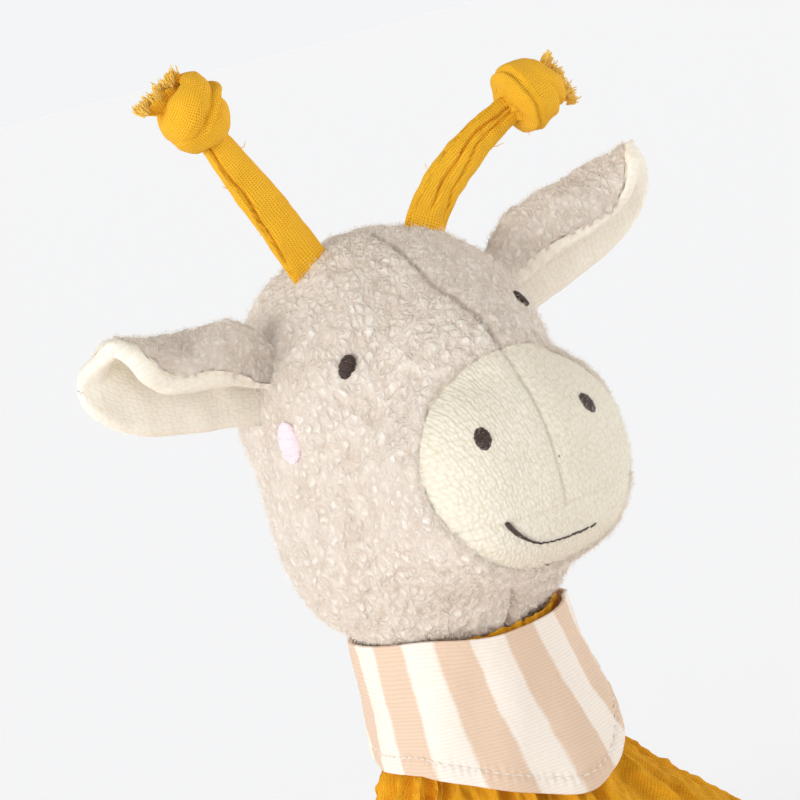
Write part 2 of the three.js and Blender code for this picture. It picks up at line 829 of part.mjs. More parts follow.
const horns = [['right', hornRightKnot, hornRightBow, -1], ['left', hornLeftKnot, hornLeftBow, 1]];
for (const [sideName, knot, bow, side] of horns) {
  const pieces = hornPieces(knot, bow, side);
  addNode(group, `horn_strip_${sideName}`, pieces.strip, gauzeMustard, 0.9);
  addNode(group, `horn_knot_${sideName}`, pieces.knot, gauzeMustard, 0.9);
  addNode(group, `horn_fray_${sideName}`, pieces.fray, gauzeMustard, 0.9);
}

const neck = neckPieces();
addNode(group, 'neck_gather', neck.neck_gather, gauzeMustard, 0.9);
addNode(group, 'neck_stem', neck.neck_stem, stuffingWhite, 0.9);

const scarf = scarfPieces();
addNode(group, 'neckerchief', scarf.neckerchief, jerseyStripe, 0.9);
addNode(group, 'neckerchief_tie', scarf.neckerchief_tie, jerseyStripe, 0.9);

const blanket = blanketPieces();
addNode(group, 'blanket', blanket.blanket, gauzeMustard, 0.92);
addNode(group, 'blanket_hem', blanket.blanket_hem, gauzeMustard, 0.92);

export default group;
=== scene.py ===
import math

import bpy
import numpy as np
from mathutils import Matrix, Vector, noise


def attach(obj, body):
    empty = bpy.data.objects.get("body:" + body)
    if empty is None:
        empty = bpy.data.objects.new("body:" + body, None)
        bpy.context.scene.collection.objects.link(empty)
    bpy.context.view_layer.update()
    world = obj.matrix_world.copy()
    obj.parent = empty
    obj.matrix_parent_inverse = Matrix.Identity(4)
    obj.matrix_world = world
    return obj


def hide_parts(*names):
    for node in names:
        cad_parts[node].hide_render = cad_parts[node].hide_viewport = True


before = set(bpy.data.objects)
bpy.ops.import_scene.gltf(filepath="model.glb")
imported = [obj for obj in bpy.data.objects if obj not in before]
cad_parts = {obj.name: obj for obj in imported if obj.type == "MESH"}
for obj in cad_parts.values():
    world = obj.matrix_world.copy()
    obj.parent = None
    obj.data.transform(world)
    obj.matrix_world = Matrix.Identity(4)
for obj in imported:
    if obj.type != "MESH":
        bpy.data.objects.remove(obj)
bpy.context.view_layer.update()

mm = 0.001
neckHeight = 105.0


# Linear colour from an sRGB hex value.
def hexColor(text, alpha=1.0):
    channels = []
    for i in (1, 3, 5):
        c = int(text[i:i + 2], 16) / 255
        channels.append(c / 12.92 if c <= 0.04045 else ((c + 0.055) / 1.055) ** 2.4)
    return (*channels, alpha)


# Adds a node with its settings. An input that is a socket, or a node with its first output, is linked;
# any other value is set. Stops colour a ramp.
def addNode(tree, kind, inputs=None, stops=(), **settings):
    node = tree.nodes.new(kind)
    for key, value in settings.items():
        setattr(node, key, value)
    for key, value in (inputs or {}).items():
        if isinstance(value, bpy.types.Node):
            value = value.outputs[0]
        if isinstance(value, bpy.types.NodeSocket):
            tree.links.new(value, node.inputs[key])
        else:
            node.inputs[key].default_value = value
    if stops:
        elements = node.color_ramp.elements
        elements[0].position, elements[-1].position = stops[0][0], stops[-1][0]
        for position, color in stops[1:-1]:
            elements.new(position)
        for element, (position, color) in zip(elements, stops):
            element.color = hexColor(color)
    return node


# A new rough cloth material and its shader.
def clothMaterial(name, roughness=0.95, sheen=0.3, sheenTint="#ffffff"):
    material = bpy.data.materials.new(name)
    material.use_nodes = True
    tree = material.node_tree
    shader = tree.nodes["Principled BSDF"]
    shader.inputs["Roughness"].default_value = roughness
    shader.inputs["IOR"].default_value = 1.5
    shader.inputs["Specular IOR Level"].default_value = 0.25
    shader.inputs["Sheen Weight"].default_value = sheen
    shader.inputs["Sheen Roughness"].default_value = 0.5
    shader.inputs["Sheen Tint"].default_value = hexColor(sheenTint)
    return material, tree, shader


# Colour of a cloth and its relief, whose depth is in millimetres.
def setSurface(tree, shader, color, height, strength, depth):
    tree.links.new(color, shader.inputs["Base Color"])
    bump = addNode(tree, "ShaderNodeBump", {"Height": height, "Strength": strength, "Distance": depth * mm})
    tree.links.new(bump.outputs["Normal"], shader.inputs["Normal"])


# Body that a piece moves with, its cloth, which is not used, and the CAD nodes that it takes the place of.
def joinFrame(obj, body, slot, *nodes):
    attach(obj, body)
    if nodes:
        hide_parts(*nodes)


# Soft step from 0 at one value to 1 at another.
def smooth(start, end, value):
    t = np.clip((value - start) / (end - start), 0, 1)
    return t * t * (3 - 2 * t)


# Object made of a mesh, in the scene and with its cloth on it.
def linkMesh(name, mesh, material):
    mesh.materials.append(material)
    obj = bpy.data.objects.new(name, mesh)
    bpy.context.scene.collection.objects.link(obj)
    return obj


# Mesh places in metres on the frame, from toy points in millimetres.
def framePlaces(points):
    return (points.reshape(-1, 3) + np.array([0, 0, neckHeight])) * mm


# Smooth mesh object from toy points, one or more arrays of faces and the uv of every corner in millimetres.
def meshObject(name, points, faces, cornerUv, material):
    mesh = bpy.data.meshes.new(name)
    flat = framePlaces(points)
    corners = np.concatenate([part.ravel() for part in faces]).astype(np.int32)
    sizes = np.concatenate([np.full(len(part), part.shape[1]) for part in faces])
    starts = (np.cumsum(sizes) - sizes).astype(np.int32)
    mesh.vertices.add(len(flat))
    mesh.vertices.foreach_set("co", flat.astype(np.float32).ravel())
    mesh.loops.add(len(corners))
    mesh.loops.foreach_set("vertex_index", corners)
    mesh.polygons.add(len(starts))
    mesh.polygons.foreach_set("loop_start", starts)
    mesh.update(calc_edges=True)
    layer = mesh.uv_layers.new(name="cloth")
    layer.data.foreach_set("uv", (cornerUv * mm).astype(np.float32).ravel())
    mesh.polygons.foreach_set("use_smooth", np.ones(len(starts), dtype=bool))
    mesh.update()
    return linkMesh(name, mesh, material)


# Mesh object from a grid of toy points, with the uv of each point.
def gridObject(name, points, uv, material, wraps=False):
    columns, rows = points.shape[:2]
    a = np.arange(columns if wraps else columns - 1)
    b = np.arange(rows - 1)
    i, j = np.meshgrid(a, b, indexing="ij")
    nextI = (i + 1) % columns
    quads = np.stack([i * rows + j, nextI * rows + j, nextI * rows + j + 1, i * rows + j + 1], -1)
    corner = np.stack([i, i + 1, i + 1, i], -1).reshape(-1)
    rise = np.stack([j, j, j + 1, j + 1], -1).reshape(-1)
    if wraps:
        uv = np.concatenate([uv, uv[:1] + (uv[-1:] - uv[-2:-1]) + (uv[-1:] - uv[:1])], 0)
    return meshObject(name, points, [quads.reshape(-1, 4)], uv[corner, rise], material)


# Smooth noise from about -1 to 1 at points in millimetres, with bumps of one size.
def noiseField(points, size, seed=0.0):
    shift = Vector((seed, seed * 1.7, -seed))
    out = [noise.noise(Vector(p) / size + shift) for p in points.reshape(-1, 3)]
    return np.array(out).reshape(points.shape[:-1]) * 1.6


def normalize(v):
    return v / np.linalg.norm(v, axis=-1, keepdims=True)


# Angles once round a closed ring, as a column of a grid.
def ringAngles(count):
    return np.linspace(0, 2 * math.pi, count, endpoint=False)[:, None]


# Points or uv from their coordinates, each of them a number, a row, a column or a grid.
def stacked(*parts):
    return np.stack(np.broadcast_arrays(*parts), -1)


# Small moves of points in all three directions.
def wander(points, size, seed):
    return np.stack([noiseField(points, size, seed + k) for k in range(3)], -1)


# Toy points turned about the front-to-back axis, by an angle in radians.
def leaned(points, angle):
    c, s = math.cos(angle), math.sin(angle)
    return np.stack([
        c * points[..., 0] + s * points[..., 2], points[..., 1], c * points[..., 2] - s * points[..., 0]], -1)


# Normals of a grid that closes on itself one way, all pointing away from its middle.
def outwardNormals(points, middle):
    n = np.cross(np.roll(points, -1, 0) - np.roll(points, 1, 0), np.gradient(points, axis=1))
    n = n / np.maximum(np.linalg.norm(n, axis=-1, keepdims=True), 1e-9)
    return np.where((n * (points - middle)).sum(-1, keepdims=True) < 0, -n, n)


# Head form: skull, jaw, cheeks, bridge of the nose and muzzle, blended.
headForms = [
    ((0, 1, 55), (34.8, 34.8, 34.8), 2.0),
    ((0, 0, 29), (34, 34, 34), 2.0),
    ((0, 0.5, 42), (32.5, 32.5, 24), 2.0),
    ((0, -24, 54), (20, 26, 21), 2.0),
    ((0, -32, 37), (26.5, 25.5, 23.5), 2.6),
]
headCore = np.array([0.0, -14.0, 38.0])
blendPower = 18
muzzleOval = {"halfWidth": 24.2, "halfHeight": 22.5, "up": 39.3, "lipUp": 29.5}


def headField(p):
    total = 0
    for centre, radii, power in headForms:
        q = (np.abs(p - np.array(centre)) / np.array(radii)) ** power
        total = total + np.maximum(q.sum(-1) ** (1 / power), 0.05) ** -blendPower
    return total


# Point where a ray from inside the head leaves the skin.
def onSkin(origin, direction):
    near = np.zeros(direction.shape[:-1])
    far = np.full(direction.shape[:-1], 90.0)
    for _ in range(30):
        middle = (near + far) / 2
        inside = headField(origin + direction * middle[..., None]) > 1
        near = np.where(inside, middle, near)
        far = np.where(inside, far, middle)
    return origin + direction * near[..., None]


# Skin point on the ray from the middle of the head through a place.
def ontoHead(p):
    return onSkin(headCore, normalize(p - headCore))


# Skin point straight ahead of a place seen from the front.
def facePoint(x, up):
    origin = stacked(x, headCore[1], up)
    return onSkin(origin, np.broadcast_to(np.array([0.0, -1.0, 0.0]), origin.shape))


def groove(distance, width):
    return np.exp(-(distance / width) ** 2)


# 1 on the muzzle seam, less inside it, for points seen from the front.
def ovalShare(p):
    return np.hypot(p[..., 0] / muzzleOval["halfWidth"], (p[..., 2] - muzzleOval["up"]) / muzzleOval["halfHeight"])


# Fleece: pale beige sherpa, its pile in irregular clumps, with painted shade drawn as narrow tan creases between
# them.
fleece = {"crease": "#bd9f84", "body": "#efe4d8", "tip": "#faf3ea", "clump": (1.7, 1.7, 2.4), "lift": 0.6}


# Coordinates of a surface in metres, bent by noise of one size.
def bentPlace(tree, place, size, amount):
    wobble = addNode(tree, "ShaderNodeTexNoise", {
        "Vector": place, "Scale": 1 / (size * mm), "Detail": 2.0, "Roughness": 0.6})
    centred = addNode(tree, "ShaderNodeVectorMath", {0: wobble.outputs["Color"], 1: (0.5, 0.5, 0.5)},
                      operation="SUBTRACT")
    moved = addNode(tree, "ShaderNodeVectorMath", {0: centred, "Scale": amount * mm}, operation="SCALE")
    return addNode(tree, "ShaderNodeVectorMath", {0: place, 1: moved}, operation="ADD").outputs["Vector"]


def fleeceMaterial():
    material, tree, shader = clothMaterial("sherpa fleece", 1.0, 0.45, "#fff8ef")
    place = addNode(tree, "ShaderNodeTexCoord").outputs["Object"]
    height = addNode(tree, "ShaderNodeAttribute", attribute_name="pile")
    bent = bentPlace(tree, bentPlace(tree, place, 3.4, 2.6), 0.9, 0.7)
    cells = addNode(tree, "ShaderNodeVectorMath", {
        0: bent, 1: tuple(1 / (k * mm) for k in fleece["clump"])}, operation="MULTIPLY")
    edge = addNode(tree, "ShaderNodeTexVoronoi", {"Vector": cells, "Scale": 1.0}, feature="DISTANCE_TO_EDGE")
    curled = addNode(tree, "ShaderNodeMapRange", {
        "Value": edge, "From Min": 0.0, "From Max": 0.42}, interpolation_type="SMOOTHSTEP")
    gate = addNode(tree, "ShaderNodeTexNoise", {"Vector": place, "Scale": 1 / (5 * mm), "Detail": 2.0})
    parted = addNode(tree, "ShaderNodeMapRange", {
        "Value": gate, "From Min": 0.36, "From Max": 0.62, "To Min": 0.6, "To Max": 1.0})
    crease = addNode(tree, "ShaderNodeMath", {0: 1.0, 1: curled}, operation="SUBTRACT")
    crease = addNode(tree, "ShaderNodeMath", {0: crease, 1: parted}, operation="MULTIPLY")
    fine = addNode(tree, "ShaderNodeTexNoise", {
        "Vector": bent, "Scale": 1 / (0.75 * mm), "Detail": 5.0, "Roughness": 0.7})
    wide = addNode(tree, "ShaderNodeTexNoise", {"Vector": place, "Scale": 1 / (13 * mm), "Detail": 2.0})
    # painted highlight and shade: the colour also runs from body to tip with the height of the pile
    shade = addNode(tree, "ShaderNodeMath", {0: wide, 1: 0.4, 2: 0.3}, operation="MULTIPLY_ADD")
    shade = addNode(tree, "ShaderNodeMath", {0: shade, 1: height.outputs["Fac"]}, operation="ADD")
    shade = addNode(tree, "ShaderNodeMath", {0: fine, 1: shade}, operation="ADD")
    shade = addNode(tree, "ShaderNodeMath", {0: shade, 1: 0.4}, operation="MULTIPLY")
    ramp = addNode(tree, "ShaderNodeValToRGB", {"Fac": shade}, stops=((0.3, fleece["body"]), (0.72, fleece["tip"])))
    # painted shade: the narrow creases between the clumps are darkened towards the tan crease colour
    tan = addNode(tree, "ShaderNodeMath", {0: crease, 1: 0.47}, operation="MULTIPLY")
    color = addNode(tree, "ShaderNodeMix", {0: tan, 6: ramp, 7: hexColor(fleece["crease"])}, data_type="RGBA")
    level = addNode(tree, "ShaderNodeMath", {0: fine, 1: crease}, operation="SUBTRACT")
    setSurface(tree, shader, color.outputs[2], level.outputs[0], 0.8, 0.6)
    return material


# Stores the height of the pile on each point, for the painted shade and highlight of the material: lighter where the
# pile stands high, darker where it is low.
def setPile(obj, values):
    attribute = obj.data.attributes.new("pile", "FLOAT", "POINT")
    attribute.data.foreach_set("value", values.astype(np.float32).ravel())


# Lifts a surface into soft clumps of pile; gives the new points and the pile height.
def pileShape(points, normals, seed=0.0):
    clumps = noiseField(points * np.array([1, 1, 0.7]), 1.7, seed + 3)
    lumps = noiseField(points, 5.0, seed + 5)
    height = 0.7 * clumps + 0.4 * lumps
    return points + normals * (fleece["lift"] * height)[..., None], np.clip(0.5 + 0.5 * height, 0, 1)


# Short loose fibres standing off a surface, as thin bent strips.
def fuzzObject(name, points, normals, material, count, length, seed, width=0.07):
    rng = np.random.default_rng(seed)
    flatPoints = points.reshape(-1, 3)
    flatNormals = normals.reshape(-1, 3)
    cell = np.cross(np.gradient(points, axis=0), np.gradient(points, axis=1))
    share = np.linalg.norm(cell, axis=-1).ravel()
    pick = rng.choice(len(flatPoints), count, p=share / share.sum())
    base = flatPoints[pick] + rng.normal(0, 0.25, (count, 3))
    up = normalize(flatNormals[pick] + rng.normal(0, 0.55, (count, 3)))
    side = normalize(np.cross(up, rng.normal(0, 1, (count, 3))))
    reach = length * rng.uniform(0.4, 1.0, count)[:, None]
    bend = normalize(up + rng.normal(0, 0.6, (count, 3)))
    middle = base + up * reach * 0.5
    tip = middle + bend * reach * 0.5
    verts = np.stack([
        base - side * width / 2, base + side * width / 2,
        middle + side * width / 2, middle - side * width / 2, tip], 1).reshape(-1, 3)
    start = np.arange(count) * 5
    faces = [(s, s + 1, s + 2, s + 3) for s in start] + [(s + 3, s + 2, s + 4) for s in start]
    mesh = bpy.data.meshes.new(name)
    mesh.from_pydata(framePlaces(verts).tolist(), [], [tuple(int(k) for k in f) for f in faces])
    return linkMesh(name, mesh, material)


def fuzzMaterial(name, color):
    material, _, shader = clothMaterial(name, 1.0, 0.4)
    shader.inputs["Base Color"].default_value = hexColor(color)
    return material


fleeceCloth = fleeceMaterial()
fleeceFibre = fuzzMaterial("fleece fibre", "#f3ece2")


# Sewing of the head: depth and width of each seam, puff and width of the cloth beside it, fibres and length.
head = {"seam": (1.15, 0.62), "muzzleSeam": (0.45, 1.0), "beside": 2.6, "seamPuff": (0.4, 2.0),
        "muzzlePuff": (0.3, 2.6), "fibres": (60000, 1.3), "seamFibres": (9000, 1.2)}


# Depth or height of a seam's dip or puff at a distance from it.
def sewn(size, distance):
    depth, width = size
    return depth * groove(distance, width)


# Skin of the head from the muzzle seam round to the back, with the centre seam drawn in.
def makeHeadFleece():
    columns, rows = 440, 210
    turn = ringAngles(columns)[:, 0]
    seam = facePoint(
        muzzleOval["halfWidth"] * np.cos(turn), muzzleOval["up"] + muzzleOval["halfHeight"] * np.sin(turn))
    start = normalize(seam - headCore)
    back = np.array([0.0, 1.0, 0.0])
    angle = np.arccos(np.clip(start @ back, -1, 1))[:, None]
    t = (np.linspace(0, 0.996, rows) ** 1.05)[None, :]
    weightA = (np.sin((1 - t) * angle) / np.sin(angle))[..., None]
    weightB = (np.sin(t * angle) / np.sin(angle))[..., None]
    direction = normalize(weightA * start[:, None, :] + weightB * back)
    skin = onSkin(headCore, direction)
    normals = outwardNormals(skin, headCore)
    fromSeam = np.linalg.norm(skin - seam[:, None, :], axis=-1)
    beside = head["beside"]
    dip = sewn(head["seam"], skin[..., 0] + 0.5 * noiseField(skin, 9, 1)) + sewn(head["muzzleSeam"], fromSeam)
    puff = sewn(head["seamPuff"], np.abs(skin[..., 0]) - beside) + sewn(head["muzzlePuff"], fromSeam - beside)
    lumps = 0.5 * noiseField(skin, 17, 2)
    skin = skin + normals * (puff + lumps - 0.1 - dip)[..., None]
    piled, pile = pileShape(skin, normals, 1.0)
    # painted shade: the pile counts lower in the dips of the seams, so the fleece is drawn darker there
    pile = pile * (1 - 0.55 * np.clip(dip, 0, 1))
    uv = stacked(turn[:, None] * 36, t * 100)
    obj = gridObject("head_fleece", piled, uv, fleeceCloth, wraps=True)
    setPile(obj, pile)
    joinFrame(obj, "head", "fleece", "head_panel_right", "head_panel_left", "head_stuffing", "muzzle_stuffing")
    fuzz = fuzzObject("head_fleece_fibres", piled, normals, fleeceFibre, *head["fibres"], 4)
    inward = normalize(normals[:, :5] * 0.7 + normalize(seam - skin[:, 12])[:, None, :])
    edge = fuzzObject("muzzle_seam_fibres", piled[:, :5], inward, fleeceFibre, *head["seamFibres"], 6)
    joinFrame(fuzz, "head", "fleece")
    joinFrame(edge, "head", "fleece")


# Muzzle: cream terry velour, its short loops in fine rows.
velour = {"shade": "#dccbac", "body": "#e4dcc9", "tip": "#f0eadb", "row": 0.8, "loop": 1.25, "relief": 0.7}


def velourMaterial(name, pile):
    material, tree, shader = clothMaterial(name, 0.95, 0.45, "#fffaf0")
    uvNode = addNode(tree, "ShaderNodeUVMap", uv_map="cloth")
    place = addNode(tree, "ShaderNodeTexCoord").outputs["Object"]
    bent = bentPlace(tree, bentPlace(tree, uvNode, 5.0, 1.6), 0.8, 0.35)
    loops = addNode(tree, "ShaderNodeVectorMath", {
        0: bent, 1: (1 / (pile["row"] * mm), 1 / (pile["loop"] * mm), 1.0)}, operation="MULTIPLY")
    cells = addNode(tree, "ShaderNodeTexVoronoi", {
        "Vector": loops, "Scale": 1.0, "Randomness": 0.55}, voronoi_dimensions="2D")
    fluff = addNode(tree, "ShaderNodeTexNoise", {
        "Vector": place, "Scale": 1 / (0.4 * mm), "Detail": 4.0, "Roughness": 0.7})
    wide = addNode(tree, "ShaderNodeTexNoise", {"Vector": place, "Scale": 1 / (9 * mm), "Detail": 2.0})
    top = addNode(tree, "ShaderNodeMapRange", {
        "Value": cells, "From Min": 0.15, "From Max": 0.75, "To Min": 1.0, "To Max": 0.0},
        interpolation_type="SMOOTHSTEP")
    lit = addNode(tree, "ShaderNodeMath", {0: top, 1: 0.5}, operation="MULTIPLY")
    shade = addNode(tree, "ShaderNodeMath", {0: wide, 1: 0.4, 2: 0.3}, operation="MULTIPLY_ADD")
    shade = addNode(tree, "ShaderNodeMath", {0: fluff, 1: shade}, operation="ADD")
    shade = addNode(tree, "ShaderNodeMath", {0: lit, 1: shade}, operation="ADD")
    shade = addNode(tree, "ShaderNodeMath", {0: shade, 1: 0.6}, operation="MULTIPLY")
    ramp = addNode(tree, "ShaderNodeValToRGB", {"Fac": shade}, stops=(
        (0.42, pile["shade"]), (0.62, pile["body"]), (1.0, pile["tip"])))
    level = addNode(tree, "ShaderNodeMix", {"Factor": 0.3, 2: top, 3: fluff})
    setSurface(tree, shader, ramp.outputs["Color"], level.outputs[0], pile["relief"], 0.3)
    return material


velourCloth = velourMaterial("cream terry velour", velour)
velourFibre = fuzzMaterial("velour fibre", "#f4f0e4")


# Sewing of the muzzle, and how far its cloth reaches over the oval of the seam.
muzzle = {"rim": (0.35, 1.2), "seam": (0.6, 0.5), "lip": (0.5, 0.5), "puff": 0.9, "seamPuff": (0.25, 2.4),
          "beside": 3.0, "wide": 1.041, "tall": 1.02, "shift": 0.7, "weaveLean": 12, "fibres": (22000, 0.8)}


# Muzzle surface with its seams drawn in, and its normals, for grids of x and height.
def muzzleSkin(x, up):
    skin = facePoint(x, up)
    normals = headNormal(skin)
    fromEdge = (1 - ovalShare(skin)) * muzzleOval["halfWidth"]
    above = smooth(-1.0, 1.0, skin[..., 2] - muzzleOval["lipUp"])
    dip = sewn(muzzle["rim"], fromEdge) + sewn(muzzle["seam"], skin[..., 0]) * above
    dip = dip + sewn(muzzle["lip"], skin[..., 2] - muzzleOval["lipUp"])
    puff = muzzle["puff"] * smooth(-1.6, 5, fromEdge)
    puff = puff + sewn(muzzle["seamPuff"], np.abs(skin[..., 0]) - muzzle["beside"]) * above
    puff = puff + 0.25 * noiseField(skin, 9, 7)
    return skin + normals * (puff - dip)[..., None], normals


def makeMuzzle():
    columns, rows = 260, 110
    turn = np.linspace(0, 2 * math.pi, columns)
    rho = np.linspace(0.004, 1.0, rows) ** 0.9
    x = muzzleOval["halfWidth"] * muzzle["wide"] * np.cos(turn)[:, None] * rho[None, :] + muzzle["shift"]
    up = muzzleOval["up"] + muzzleOval["halfHeight"] * muzzle["tall"] * np.sin(turn)[:, None] * rho[None, :]
    skin, normals = muzzleSkin(x, up)
    fluff = 0.10 * noiseField(skin, 1.1, 8)
    skin = skin + normals * fluff[..., None]
    uv = leaned(skin, math.radians(muzzle["weaveLean"]))[..., [0, 2]]
    obj = gridObject("muzzle_velour", skin, uv, velourCloth)
    joinFrame(obj, "head", "velour", "muzzle_panel_right", "muzzle_panel_left", "muzzle_chin_panel")
    fuzz = fuzzObject("muzzle_velour_fibres", skin, normals, velourFibre, *muzzle["fibres"], 5, 0.05)
    joinFrame(fuzz, "head", "velour")


# Direction straight out of the head form at a point.
def headNormal(p):
    step = 0.05
    rise = []
    for axis in range(3):
        shift = np.zeros(3)
        shift[axis] = step
        rise.append(headField(p - shift) - headField(p + shift))
    return normalize(np.stack(rise, -1))


# Threads as closed tubes along many paths at once, finer at both ends; facing is a direction that none
# of them runs in.
def threadObject(name, paths, radius, material, sides, facing, endShare):
    count, steps = paths.shape[:2]
    along = normalize(np.gradient(paths, axis=1))
    side = normalize(np.cross(along, np.broadcast_to(np.asarray(facing, float), paths.shape)))
    high = np.cross(side, along)
    share = np.linspace(0, 1, steps)
    body = endShare + (1 - endShare) * np.clip(np.minimum(share, 1 - share) * 7, 0, 1)
    reach = np.broadcast_to(np.asarray(radius, float), (count, steps)) * body
    turn = np.arange(sides) / sides * 2 * math.pi
    ring = side[:, :, None] * np.cos(turn)[:, None] + high[:, :, None] * np.sin(turn)[:, None]
    verts = paths[:, :, None] + ring * reach[..., None, None]
    k, i, j = np.meshgrid(np.arange(count), np.arange(steps - 1), np.arange(sides), indexing="ij")
    nextJ = (j + 1) % sides
    base = (k * steps + i) * sides
    quads = np.stack([base + j, base + nextJ, base + sides + nextJ, base + sides + j], -1).reshape(-1, 4)
    first = np.arange(count)[:, None] * steps * sides
    caps = np.concatenate([first + np.arange(sides)[::-1], first + (steps - 1) * sides + np.arange(sides)])
    length = np.concatenate([np.zeros((count, 1)), np.cumsum(
        np.linalg.norm(np.diff(paths, axis=1), axis=-1), axis=1)], 1)
    uv = stacked(length[:, :, None], turn / 6 + np.arange(count)[:, None, None])
    corners = np.concatenate([quads.ravel(), caps.ravel()])
    return meshObject(name, verts, [quads, caps], uv.reshape(-1, 2)[corners], material)


# Thread: cotton or satin, with a fine twist and a lighter streak where it catches the light.
def threadMaterial(name, dark, light, roughness=0.45):
    material, tree, shader = clothMaterial(name, roughness, 0.15)
    shader.inputs["Specular IOR Level"].default_value = 0.4
    uvNode = addNode(tree, "ShaderNodeUVMap", uv_map="cloth")
    place = addNode(tree, "ShaderNodeTexCoord").outputs["Object"]
    twist = addNode(tree, "ShaderNodeTexNoise", {"Vector": uvNode, "Scale": 1 / (0.5 * mm), "Detail": 2.0})
    spots = addNode(tree, "ShaderNodeTexNoise", {"Vector": place, "Scale": 1 / (0.35 * mm), "Detail": 3.0})
    shade = addNode(tree, "ShaderNodeMath", {0: twist, 1: spots}, operation="ADD")
    shade = addNode(tree, "ShaderNodeMath", {0: shade, 1: 0.5}, operation="MULTIPLY")
    ramp = addNode(tree, "ShaderNodeValToRGB", {"Fac": shade}, stops=((0.36, dark), (0.66, light)))
    setSurface(tree, shader, ramp.outputs["Color"], twist.outputs["Fac"], 0.5, 0.08)
    return material


# Stitches: places are across and up from the middle of the face, slant turns the threads, lean the oval;
# far is the share of the width and height of the left one, which the photograph shows smaller.
eyes = {"up": 66.5, "x": 22.5, "tilt": 1.1, "width": 3.5, "height": 5.1, "slant": 6, "lean": 34, "thread": 0.13,
        "lift": 0.3, "far": (0.42, 0.98)}
nostrils = {"up": 47.0, "x": 12.4, "shift": -0.9, "width": 4.2, "height": 4.5, "slant": 10, "lean": 8,
            "thread": 0.14, "lift": 0.85, "far": (0.85, 1.0)}
cheeks = {"up": 52.1, "x": 32.9, "back": 4.2, "width": 6.4, "height": 9.0, "slant": -4, "thread": 0.15, "lift": 0.3,
          "far": (1.0, 1.0)}
mouth = {"up": 23.2, "rise": 5.5, "bend": 12.6, "lift": 1.2, "from": -9.0, "to": 6.4, "stitch": (1.5, 2.5),
         "overlap": (0.3, 0.8), "thick": ((-13.5, -10.9, 0.62), (-12.6, -9.8, 0.5), (-11.2, -8.4, 0.36))}
brownThread = threadMaterial("dark brown embroidery thread", "#23150f", "#57423a")
pinkThread = threadMaterial("pale pink embroidery thread", "#f1d8df", "#fae9ee", 0.8)


# Oval of satin stitch laid over the head form, one thread beside the other.
def makeStitches(name, node, side, settings, material, seed):
    rng = np.random.default_rng(seed)
    middle = facePoint(
        side * settings["x"] + settings.get("shift", 0), settings["up"] + side * settings.get("tilt", 0))
    middle = ontoHead(middle + np.array([0, settings.get("back", 0.0), 0]))
    out = headNormal(middle)
    across = normalize(np.cross(np.array([0.0, 0.0, 1.0]), out))
    rise = np.cross(out, across)
    lean = math.radians(-side * settings.get("lean", 0))
    across, rise = (
        across * math.cos(lean) - rise * math.sin(lean), rise * math.cos(lean) + across * math.sin(lean))
    slant = math.radians(settings["slant"])
    run = across * math.cos(slant) + rise * math.sin(slant)
    step = rise * math.cos(slant) - across * math.sin(slant)
    narrow, low = settings["far"] if side > 0 else (1.0, 1.0)
    reach = settings["height"] / 2 * low
    half = settings["width"] / 2 * narrow
    gap = settings["thread"] * 1.5
    places = np.arange(-reach + gap / 2, reach, gap)
    share = np.linspace(-1, 1, 13)
    paths = []
    for layer in (0, 1):
        for place in places:
            limit = half * math.sqrt(max(0.0, 1 - (place / reach) ** 2)) + rng.uniform(-0.1, 0.2)
            sag = rng.uniform(-0.1, 0.1)
            flat = (middle + run * (share * limit)[:, None]
                    + step * (place + sag * np.cos(share * 2.2) + rng.uniform(-0.06, 0.06))[:, None])
            skin = ontoHead(flat)
            edge = 1 - np.abs(share) ** 6
            crown = 0.3 * (1 - (share ** 2) * 0.7) * (1 - 0.6 * (place / reach) ** 2)
            lift = settings["lift"] * edge - 0.25 * (1 - edge) + crown * edge + 0.1 * layer + rng.uniform(-0.05, 0.05)
            paths.append(skin + headNormal(skin) * lift[:, None])
    obj = threadObject(name, np.array(paths), settings["thread"], material, 5, tuple(out), 0.6)
    joinFrame(obj, "head", "thread", node)


# Mouth: one thick stitch at the toy's right corner, then thin ones half sunk in the velour.
def makeMouth():
    rng = np.random.default_rng(12)
    starts = list(mouth["thick"])
    x = mouth["from"]
    while x < mouth["to"]:
        long = rng.uniform(*mouth["stitch"])
        starts.append((x, x + long, rng.uniform(0.2, 0.29)))
        x += long - rng.uniform(*mouth["overlap"])
    paths, widths = [], []
    share = np.linspace(0, 1, 9)
    for start, end, width in starts:
        x = start + (end - start) * share
        up = mouth["up"] + mouth["rise"] * np.abs(x / mouth["bend"]) ** 3.5 + rng.uniform(-0.12, 0.12)
        up = up + rng.uniform(-0.12, 0.12) * (share - 0.5)
        skin = facePoint(x, up)
        arch = np.sin(share * math.pi) ** 0.3
        skin = skin + headNormal(skin) * (mouth["lift"] * arch - 0.1)[:, None]
        paths.append(skin)
        widths.append(width * (1 - 0.25 * share))
    obj = threadObject("mouth_thread", np.array(paths), np.array(widths), brownThread, 7, (0, -1, 0), 0.3)
    joinFrame(obj, "head", "thread", "mouth")


# Ears: fleece outside and velour inside, the upper edge rolled forward into a flap.
ears = {"rootY": -1, "rootLength": 19, "rootUp": (56.8, 60.5), "rise": (8.5, 14.0), "length": 40.5, "sweep": 5,
        "height": 21.5, "rootHeight": 19, "roll": 4.7, "rootRoll": 2.8, "turn": 188.0, "tipTurn": 20.0,
        "flap": 6.5, "rootFlap": 8.0, "half": 1.95, "sewn": 2.2,
        "fleeceFibres": (9000, 1.25), "velourFibres": (5000, 0.7)}


